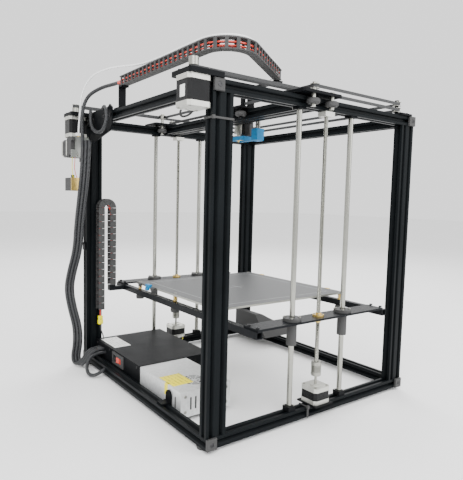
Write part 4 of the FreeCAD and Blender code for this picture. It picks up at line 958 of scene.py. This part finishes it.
class PrinterScrewDrive(bpy.types.Operator):
    """Cut the threads of the lead screws and finish their couplers"""
    bl_idname = "printer.screw_drive"
    bl_label = "Lead screws"

    def execute(self, context):
        for side in ("left", "right"):
            self.screw(side)
        return {"FINISHED"}

    def screw(self, side):
        node = "lead_screw_" + side
        low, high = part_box(node)
        centre = (low + high) / 2
        start = low.z + COUPLER_RISE
        end = start + COUPLER_TALL
        mesh = bmesh.new()
        self.thread(mesh, centre, end - 0.004, high.z)
        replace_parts(piece("threaded_rod_" + side, mesh, "ground_steel", node), node)
        mesh = bmesh.new()
        at = Matrix.Translation((centre.x, centre.y, 0))
        lathe(mesh, at, [(0, low.z), (SHAFT_RADIUS, low.z), (SHAFT_RADIUS, start + 0.002)])
        radius, inner = COUPLER_RADIUS, COUPLER_RADIUS - COUPLER_CHAMFER
        waist = radius - COUPLER_CUT_DEEP
        profile = [(0.004, start), (inner, start), (radius, start + COUPLER_CHAMFER)]
        for cut in range(COUPLER_CUTS):
            z = start + 0.0085 + cut * COUPLER_CUT_STEP
            profile += [(radius, z), (waist, z + 0.0003), (waist, z + 0.0009), (radius, z + 0.0012)]
        profile += [(radius, end - COUPLER_CHAMFER), (inner, end), (0.0041, end)]
        lathe(mesh, at, profile, 32)
        for z in (start + 0.0045, end - 0.0045):
            for turn in GRUB_TURNS:
                direction = Vector((math.cos(turn), math.sin(turn), 0))
                seat = Vector((centre.x, centre.y, z)) + direction * (radius - 0.0006)
                screw_head(mesh, seat, direction, 0.0016, 0.0008)
        piece("shaft_coupler_" + side, mesh, "bright_metal", node)

    def thread(self, mesh, centre, low, high):
        """A rod whose radius follows a helix of several starts."""
        pitch = sizes().thread_pitch
        steps = int((high - low) / (pitch / 4))
        rows = []
        for step in range(steps + 1):
            z = low + (high - low) * step / steps
            row = []
            for index in range(THREAD_SEGMENTS):
                angle = 2 * math.pi * index / THREAD_SEGMENTS
                phase = (z / pitch + THREAD_STARTS * index / THREAD_SEGMENTS) % 1.0
                crest = min(1.0, max(0.0, 2.2 * abs(phase - 0.5) * 2 - 0.6))
                radius = THREAD_RADIUS - THREAD_DEEP * (1 - crest)
                row.append(mesh.verts.new((centre.x + radius * math.cos(angle),
                                           centre.y + radius * math.sin(angle), z)))
            rows.append(row)
        for lower, upper in zip(rows, rows[1:]):
            for index in range(THREAD_SEGMENTS):
                after = (index + 1) % THREAD_SEGMENTS
                mesh.faces.new((lower[index], lower[after], upper[after], upper[index]))
        mesh.faces.new(rows[-1])
        mesh.faces.new(list(reversed(rows[0])))


# ---------------------------------------------------------------- bed and carriage
LEVELLER_X = (-0.170, 0.0, 0.170)
LEVELLER_Y = 0.170
KNURLS = 18
KNURL_RING = 0.0088
KNURL = ((0, 0.001), (0.0011, 0.0016), (0.0011, 0.0086), (0, 0.0092))
SIDE_PLATE_TOP = 0.017
SIDE_PLATE_REAR = 0.163
NUT_FLANGE = 0.0035


class PrinterBed(bpy.types.Operator):
    """Finish the bed: sheet, springs, nuts, terminals and fasteners"""
    bl_idname = "printer.bed"
    bl_label = "Bed"

    def execute(self, context):
        paint("bed_plate", ["bright_metal", "build_surface"], lambda at, normal: int(normal.z > 0.7))
        tube_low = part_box("bed_frame")[0].z + 0.0001
        paint("levelling_sets", ["brass", "black_plastic"], lambda at, _: int(at.z <= tube_low))
        self.thumb_nuts()
        self.flange_screws()
        self.terminals()
        return {"FINISHED"}

    def thumb_nuts(self):
        """Knurled rims over the plain thumb nuts."""
        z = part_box("levelling_sets")[0].z
        low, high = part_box("bed_plate")
        middle = (low.y + high.y) / 2
        mesh = bmesh.new()
        for x in LEVELLER_X:
            for y in (middle - LEVELLER_Y, middle + LEVELLER_Y):
                for tooth in range(KNURLS):
                    angle = 2 * math.pi * tooth / KNURLS
                    at = Vector((x + KNURL_RING * math.cos(angle), y + KNURL_RING * math.sin(angle), z))
                    lathe(mesh, Matrix.Translation(at), KNURL, 8)
        piece("thumb_nut_knurls", mesh, "black_plastic", "bed")

    def flange_screws(self):
        flange_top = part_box("bed_bearings")[1].z
        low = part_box("bed_frame")[0]
        plate_top = low.z + SIDE_PLATE_TOP
        around = []
        small = []
        ends = []
        for x in (-LIFT_X, LIFT_X):
            for y in (-ROD_Y, ROD_Y):
                around += corner_places((x, y, flange_top), 0.0096)
            small += corner_places((x, 0, plate_top + NUT_FLANGE), 0.0056)
            ends += [Vector((x + dx, y, plate_top)) for y in (low.y + 0.010, SIDE_PLATE_REAR)
                     for dx in (-0.012, 0.012)]
        screws("bearing_screws", "bed", around, UP, 0.0027, 0.0022, "bright_metal")
        screws("nut_screws", "bed", small, UP, 0.0019, 0.0016, "bright_metal")
        screws("side_plate_screws", "bed", ends, UP, 0.0034, 0.0026)

    def terminals(self):
        """The heater's terminals and clips on the edges of the plate."""
        low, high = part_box("bed_plate")
        under = (low.z - high.z) / MM
        rear = Vector((0, high.y, high.z))
        front = Vector((0, low.y, high.z))
        plates("heater_terminal", "printed_blue", "bed", rear,
               [(100, -4, under - 2, 116, 6, 4, 1), (102, 2, under - 6, 114, 8, under, 1)])
        plates("heater_clips", "black_plastic", "bed", rear,
               [(78, -1, under - 4, 90, 7, -0.6, 1.5), (148, -1, under - 4, 156, 5, -0.6, 1.5)])
        plates("brass_clips", "brass", "bed", front,
               [(x - 6, -4, under - 1, x + 6, 3, 1, 0.8) for x in (-124, 118)])
        places = [Vector((x, y, high.z)) for x in LEVELLER_X for y in (low.y + 0.008, high.y - 0.008)]
        screws("bed_screws", "bed", places, UP, 0.0032, 0.0008, "bright_metal")


FAN_DEEP = 0.0106
FAN_HALF = 0.020
FAN_BLADES = 7
FAN_HUB = [(0, 0), (0.0085, 0), (0.0085, 0.006), (0.0075, 0.007), (0, 0.0072)]
FAN_BLADE = ((0.0080, -0.0042, 0), (0.0170, -0.0052, 0), (0.0172, 0.0050, 0), (0.0080, 0.0040, 0))
SINK_RISE = 0.013
NOZZLE_TALL = 0.0041
SENSOR_CASE_TALL = 0.0271
CLAMP_TOP = 0.637


class PrinterHead(bpy.types.Operator):
    """Finish the carriage: hot end, fan, sensor and clamp screws"""
    bl_idname = "printer.head"
    bl_label = "Carriage"

    def execute(self, context):
        low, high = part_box("hot_end")

        def choose(at, _):
            if at.y < low.y + FAN_DEEP and at.z > low.z + SINK_RISE:
                return 2
            return int(at.z >= low.z + NOZZLE_TALL)
        paint("hot_end", ["brass", "bright_metal", "black_plastic"], choose)
        case_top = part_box("level_sensor")[0].z + SENSOR_CASE_TALL
        paint("level_sensor", ["printed_blue", "bright_metal"], lambda at, _: int(at.z > case_top))
        self.fan(low.x + FAN_HALF, low.y + 0.009, high.z - 0.018)
        places = [Vector((x, y, CLAMP_TOP)) for x in (-0.087, 0.009) for y in (0.0324, 0.0561)]
        screws("clamp_screws", "carriage", places, UP, 0.0026, 0.0022)
        return {"FINISHED"}

    def fan(self, x, y, z):
        """The blades and hub inside the square fan housing."""
        mesh = bmesh.new()
        at = looking((x, y, z), (0, -1, 0))
        lathe(mesh, at, FAN_HUB, 32)
        tilt = Matrix.Rotation(math.radians(38), 4, "X")
        for blade in range(FAN_BLADES):
            turn = at @ Matrix.Rotation(2 * math.pi * blade / FAN_BLADES, 4, "Z")
            front, back = [[mesh.verts.new(turn @ (tilt @ Vector(corner) + UP * height))
                            for corner in FAN_BLADE] for height in (0.0036, 0.0028)]
            mesh.faces.new(front)
            mesh.faces.new(list(reversed(back)))
            for index in range(4):
                after = (index + 1) % 4
                mesh.faces.new((front[index], back[index], back[after], front[after]))
        piece("head_fan_blades", mesh, "black_plastic", "carriage")


# ---------------------------------------------------------------- motors, supply and boxes
class PrinterMotors(bpy.types.Operator):
    """Add the motors' screws, plugs and rating label"""
    bl_idname = "printer.motor_details"
    bl_label = "Motor details"

    def execute(self, context):
        low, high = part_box("motors")
        belt_top = high.z - SHAFT_PROUD
        belt_low = belt_top - BELT_MOTOR_TALL
        tops = []
        unders = []
        uppers = []
        for side in SIDES:
            x, lift_x = side * BELT_MOTOR_X, side * LIFT_X
            tops += corner_places((x, BELT_MOTOR_Y, belt_top + DRIVE_PLATE), 0.0155)
            unders += corner_places((x, BELT_MOTOR_Y, belt_low), 0.0165)
            uppers += corner_places((lift_x, 0, low.z + LIFT_MOTOR_TALL), 0.0155)
        screws("drive_plate_screws", "frame", tops, UP, 0.0029, 0.0026)
        screws("belt_motor_screws", "frame", unders, -UP, 0.0026, 0.0010, "bright_metal")
        screws("lift_motor_screws", "frame", uppers, UP, 0.0026, 0.0014, "bright_metal")
        plugs = [self.plug(side * BELT_MOTOR_X / MM, 290, belt_low / MM, 9, 9, 8) for side in SIDES]
        plugs += [self.plug(side * LIFT_X / MM, 0, low.z / MM, 8, 8, 7) for side in SIDES]
        plates("motor_plugs", "white_plastic", "frame", Vector(), plugs)
        plates("motor_label", "paper_label", "frame", Vector((0, BELT_MOTOR_Y + MOTOR_HALF, belt_top)),
               [(-272, -0.4, -34, -258, 0, -16, 0.1)])
        return {"FINISHED"}

    def plug(self, x, y, z, reach, half, top):
        """The row of a plug that stands out of a motor's inner face."""
        inward = -math.copysign(1, x)
        near = x + inward * MOTOR_HALF / MM
        far = near + inward * reach
        return min(near, far), y - half, z + 1, max(near, far), y + half, z + top, 0.6


SCREEN_LEFT = 0.052
SCREEN_RIGHT = 0.013
CASE_FRONT_TOP = 0.034 + FOOT * MM
CASE_REAR_Y = -0.226
CASE_SLOPE = Vector((0, -0.4767, 0.879))
RESET_BUTTON = [(0, 0), (0.0045, 0), (0.0045, 0.004), (0.0038, 0.005), (0, 0.0052)]


class PrinterSupply(bpy.types.Operator):
    """Add labels and screws to the power supply, the control box and the display"""
    bl_idname = "printer.supply_details"
    bl_label = "Supply and box details"

    def execute(self, context):
        self.supply(sizes().label / MM)
        self.box(sizes().label / MM)
        self.display()
        return {"FINISHED"}

    def supply(self, thick):
        low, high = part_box("power_supply")
        middle = (low + high) / 2
        plates("supply_label", "yellow_label", "frame", Vector((low.x, high.y, high.z)),
               [(35, -50, 0, 92, -4, thick, 0.1), (50, 0, -22, 62, thick, thick, 0.1),
                (50, -6, 0, 62, 0, thick, 0.1)])
        places = [Vector((low.x, y, z)) for y in (low.y + 0.010, high.y - 0.010)
                  for z in (low.z + 0.010, high.z - 0.010)]
        screws("supply_screws", "frame", places, (-1, 0, 0), 0.0030, 0.0012, "bright_metal")
        deep, half = (high.y - low.y) / MM, (high.z - low.z) / 2 / MM
        # Black slabs stand in for the vent slots: the dark inside seen through them is painted shade.
        vent_shades = [(-0.4, y, -12, 0.6, y + 3.5, 12, 0.2) for y in range(25, 92, 11)]
        vent_shades.append((18, deep - 0.6, 14 - half, 22, deep + 0.4, half - 14, 0.2))
        plates("supply_vent_shade", "black_plastic", "frame", Vector((low.x, low.y, middle.z)), vent_shades)

    def box(self, thick):
        low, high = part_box("control_box")
        plates("box_label", "paper_label", "frame", high, [(-98, -50, 0, -12, -8, thick, 0.1)])
        places = [Vector((x, high.y, high.z - 0.006)) for x in (low.x + 0.012, 0.170, high.x - 0.012)]
        screws("box_screws", "frame", places, (0, 1, 0), 0.0028, 0.0014)

    def display(self):
        low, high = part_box("display")

        def choose(at, normal):
            tilted = normal.z > 0.6 and normal.y < -0.2
            across = low.x + SCREEN_LEFT < at.x < high.x - SCREEN_RIGHT
            return int(tilted and across and self.over_face(at, low, high))
        paint("display", ["black_plastic", "screen_glass"], choose)
        mesh = bmesh.new()
        place = Vector((high.x - 0.007, -0.275, 0.0625))
        lathe(mesh, looking(place, CASE_SLOPE.normalized()), RESET_BUTTON, 28)
        piece("reset_button", mesh, "red_plastic", "frame")

    def over_face(self, at, low, high):
        """Whether a place stands proud of the case's sloping face."""
        rise = (high.z - CASE_FRONT_TOP) / (CASE_REAR_Y - low.y)
        return at.z > CASE_FRONT_TOP + (at.y - low.y) * rise + 0.0015


# ---------------------------------------------------------------- filament feed and wires
FEED_FITTING_Z = 0.5581
FEED_COVER = 0.0052
SENSOR_COVER = 0.0031
PLUG_WIRE = 0.003
MOTOR_LEAD = 0.0035
FEED_WIRE_RED = [(240, 300, 503), (240, 300, 492), (236, 303, 480), (238, 300, 468),
                 (243, 296, 460), (243, 294, 456)]
FEED_WIRE_YELLOW = [(246, 304, 503), (247, 304, 493), (242, 306, 481), (244, 305, 470),
                    (250, 302, 461), (250, 300, 456)]
LIFT_WIRE_YELLOW = [(240.5, -3, 27), (232, -2, 26), (220, 8, 24), (208, 26, 25), (196, 44, 30), (190, 58, 30)]
BELT_MOTOR_LEAD = [(-232.2, 290, 557), (-222, 290, 552), (-214, 282, 545), (-218, 271, 548),
                   (-226, 266, 556), (-228, 262, 566), (-228, 256, 580)]
PLUG_WIRE_UPPER = [(248, 233, 132), (248.6, 233.4, 125), (248, 233.4, 118), (248.4, 233, 112.8)]
PLUG_WIRE_LOWER = [(248.6, 233, 92), (248, 233.6, 82), (245, 230, 70), (246, 226, 60), (246, 226, 53.4)]
BED_PLUG = [(244.5, 227, 99, 253.5, 239, 110, 1.2), (245, 227.6, 110.4, 253, 238.4, 120, 1.2)]
SLEEVE_END = [(0.0041, 0), (0.0046, 0.0006), (0.0047, 0.012), (0.0042, 0.0145), (0.0040, 0.0145)]


class PrinterFeed(bpy.types.Operator):
    """Finish the filament feed and its sensor, with their wires"""
    bl_idname = "printer.feed"
    bl_label = "Filament feed"

    def execute(self, context):
        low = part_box("feed_body")[0]
        paint("feed_body", ["black_plastic", "clear_cover", "brass"],
              lambda at, _: 2 if at.z > FEED_FITTING_Z else int(at.x < low.x + FEED_COVER))
        cover_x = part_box("filament_sensor")[0].x + SENSOR_COVER
        paint("filament_sensor", ["black_plastic", "brass"], lambda at, _: int(at.x < cover_x))
        places = [Vector((low.x + 0.002, y, z)) for y, z in ((0.276, 0.516), (0.276, 0.548), (0.296, 0.516))]
        screws("cover_screws", "frame", places, (-1, 0, 0), 0.0026, 0.0018, "bright_metal")
        self.plug_and_shrink()
        wire = sizes().wire
        hang("feed_wire_red", FEED_WIRE_RED, wire, "red_plastic")
        hang("feed_wire_yellow", FEED_WIRE_YELLOW, wire, "yellow_plastic")
        hang("lift_wire_yellow", LIFT_WIRE_YELLOW, wire, "yellow_plastic")
        hang("belt_motor_lead", BELT_MOTOR_LEAD, MOTOR_LEAD, "black_plastic")
        return {"FINISHED"}

    def plug_and_shrink(self):
        """The yellow plug under the bed chain and the red end of the harness sleeve."""
        plates("bed_plug", "yellow_plastic", "frame", Vector(), BED_PLUG)
        upper = route("plug_wire_upper", metres(PLUG_WIRE_UPPER), PLUG_WIRE, "red_plastic", 3)
        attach(as_mesh(upper), "frame")
        hang("plug_wire_lower", PLUG_WIRE_LOWER, PLUG_WIRE, "black_plastic")
        mesh = bmesh.new()
        start = metres(HARNESS[:1])[0] + Vector((0.0004, 0, 0))
        lathe(mesh, looking(start, (1, 0.02, 0.045)), SLEEVE_END)
        piece("sleeve_end", mesh, "red_plastic", "frame")


# ---------------------------------------------------------------- fasteners
END_PLATE_SCREWS = ((0.244, 0.016), (0.244, 0.042), (0.275, 0.078), (0.275, -0.002))
REAR_RAIL_SCREWS = ((0.240, 0.255), (0.256, 0.255), (0.276, 0.255))
CORNER_PLATE_SCREWS = ((0.247, -0.243), (0.276, -0.243))
ROD_CLAMP_SCREWS = ((-0.0062, -0.0762), (0.0062, -0.0638), (-0.0062, 0.0638), (0.0062, 0.0762))
REAR_PLATE_THICK = 0.008
CORNER_PLATE_THICK = 0.004
ROD_CLAMP_TALL = 0.009
RAIL_END_X = 0.285
RAIL_END_Y = (-0.255, 0.255)
RAIL_END_Z = (0.017, 0.597)
CABLE_PLATE_SCREWS = ((0.108, 0.268, 0.597), (0.140, 0.268, 0.597), (0.205, 0.268, 0.597))
CABLE_TIES = [
    (-281.7, 223.3, 545, -280.6, 266.7, 548.5, 0.3),
    (-259.4, 223.3, 545, -258.3, 266.7, 548.5, 0.3),
    (-281.7, 223.3, 545, -258.3, 224.4, 548.5, 0.3),
    (-281.7, 265.6, 545, -258.3, 266.7, 548.5, 0.3),
    (-284, 262, 544, -280.6, 267, 549.8, 0.6),
    (-283.5, 30, 7.5, -280.6, 33.5, 28.5, 0.5),
    (-283.5, 30, 27, -259, 33.5, 28.5, 0.5),
    (-285, 29, 25, -280, 34.5, 31, 0.8),
]


class PrinterFasteners(bpy.types.Operator):
    """Put the remaining screws and the cable ties on the frame"""
    bl_idname = "printer.fasteners"
    bl_label = "Fasteners and ties"

    def execute(self, context):
        rail_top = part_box("frame_rails")[1].z
        gantry_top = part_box("gantry_end_plates")[1].z
        clamp_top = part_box("rod_end_blocks")[0].z + ROD_CLAMP_TALL
        places = self.paired(END_PLATE_SCREWS, gantry_top)
        screws("end_plate_screws", "gantry", places, UP, 0.0034, 0.0026)
        places = self.paired(REAR_RAIL_SCREWS, rail_top + REAR_PLATE_THICK)
        screws("rear_rail_screws", "frame", places, UP, 0.0038, 0.0032)
        places = self.paired(CORNER_PLATE_SCREWS, rail_top + CORNER_PLATE_THICK)
        screws("corner_plate_screws", "frame", places, UP, 0.0034, 0.0030)
        places = [Vector((side * LIFT_X + dx, y, clamp_top)) for side in SIDES for dx, y in ROD_CLAMP_SCREWS]
        screws("rod_clamp_screws", "frame", places, UP, 0.0017, 0.0014, "bright_metal")
        for side, name in zip(SIDES, ("left", "right")):
            ends = [Vector((side * RAIL_END_X, y, z)) for y in RAIL_END_Y for z in RAIL_END_Z]
            screws("rail_end_screws_" + name, "frame", ends, (side, 0, 0), 0.0042, 0.0007)
        places = [Vector(place) for place in CABLE_PLATE_SCREWS]
        screws("cable_plate_screws", "frame", places, (0, 1, 0), 0.0036, 0.0030)
        plates("cable_ties", "black_plastic", "frame", Vector(), CABLE_TIES)
        return {"FINISHED"}

    def paired(self, rows, z):
        """Places at one level, on the left and on the right."""
        return [Vector((side * x, y, z)) for side in SIDES for x, y in rows]


STEPS = (PrinterStage, PrinterCables, PrinterFrame, PrinterBelts, PrinterChains, PrinterScrewDrive,
         PrinterBed, PrinterHead, PrinterMotors, PrinterSupply, PrinterFeed, PrinterFasteners)


class PrinterPanel(bpy.types.Panel):
    """The printer's settings and the steps that build its looks"""
    bl_idname = "PRINTER_PT_looks"
    bl_label = "Printer looks"
    bl_space_type = "VIEW_3D"
    bl_region_type = "UI"
    bl_category = "Printer"

    def draw(self, context):
        for group in (context.scene.printer_colours, context.scene.printer_sizes):
            for name in group.bl_rna.properties.keys():
                if name not in ("rna_type", "name"):
                    self.layout.prop(group, name)
        for step in STEPS:
            self.layout.operator(step.bl_idname)


def register():
    for made in (PrinterColours, PrinterSizes, *STEPS, PrinterPanel):
        bpy.utils.register_class(made)
    bpy.types.Scene.printer_colours = bpy.props.PointerProperty(type=PrinterColours)
    bpy.types.Scene.printer_sizes = bpy.props.PointerProperty(type=PrinterSizes)


def unregister():
    del bpy.types.Scene.printer_sizes
    del bpy.types.Scene.printer_colours
    for made in (PrinterPanel, *reversed(STEPS), PrinterSizes, PrinterColours):
        bpy.utils.unregister_class(made)


def main():
    register()
    for step in STEPS:
        group, name = step.bl_idname.split(".")
        getattr(getattr(bpy.ops, group), name)()


if __name__ == "__main__":
    main()
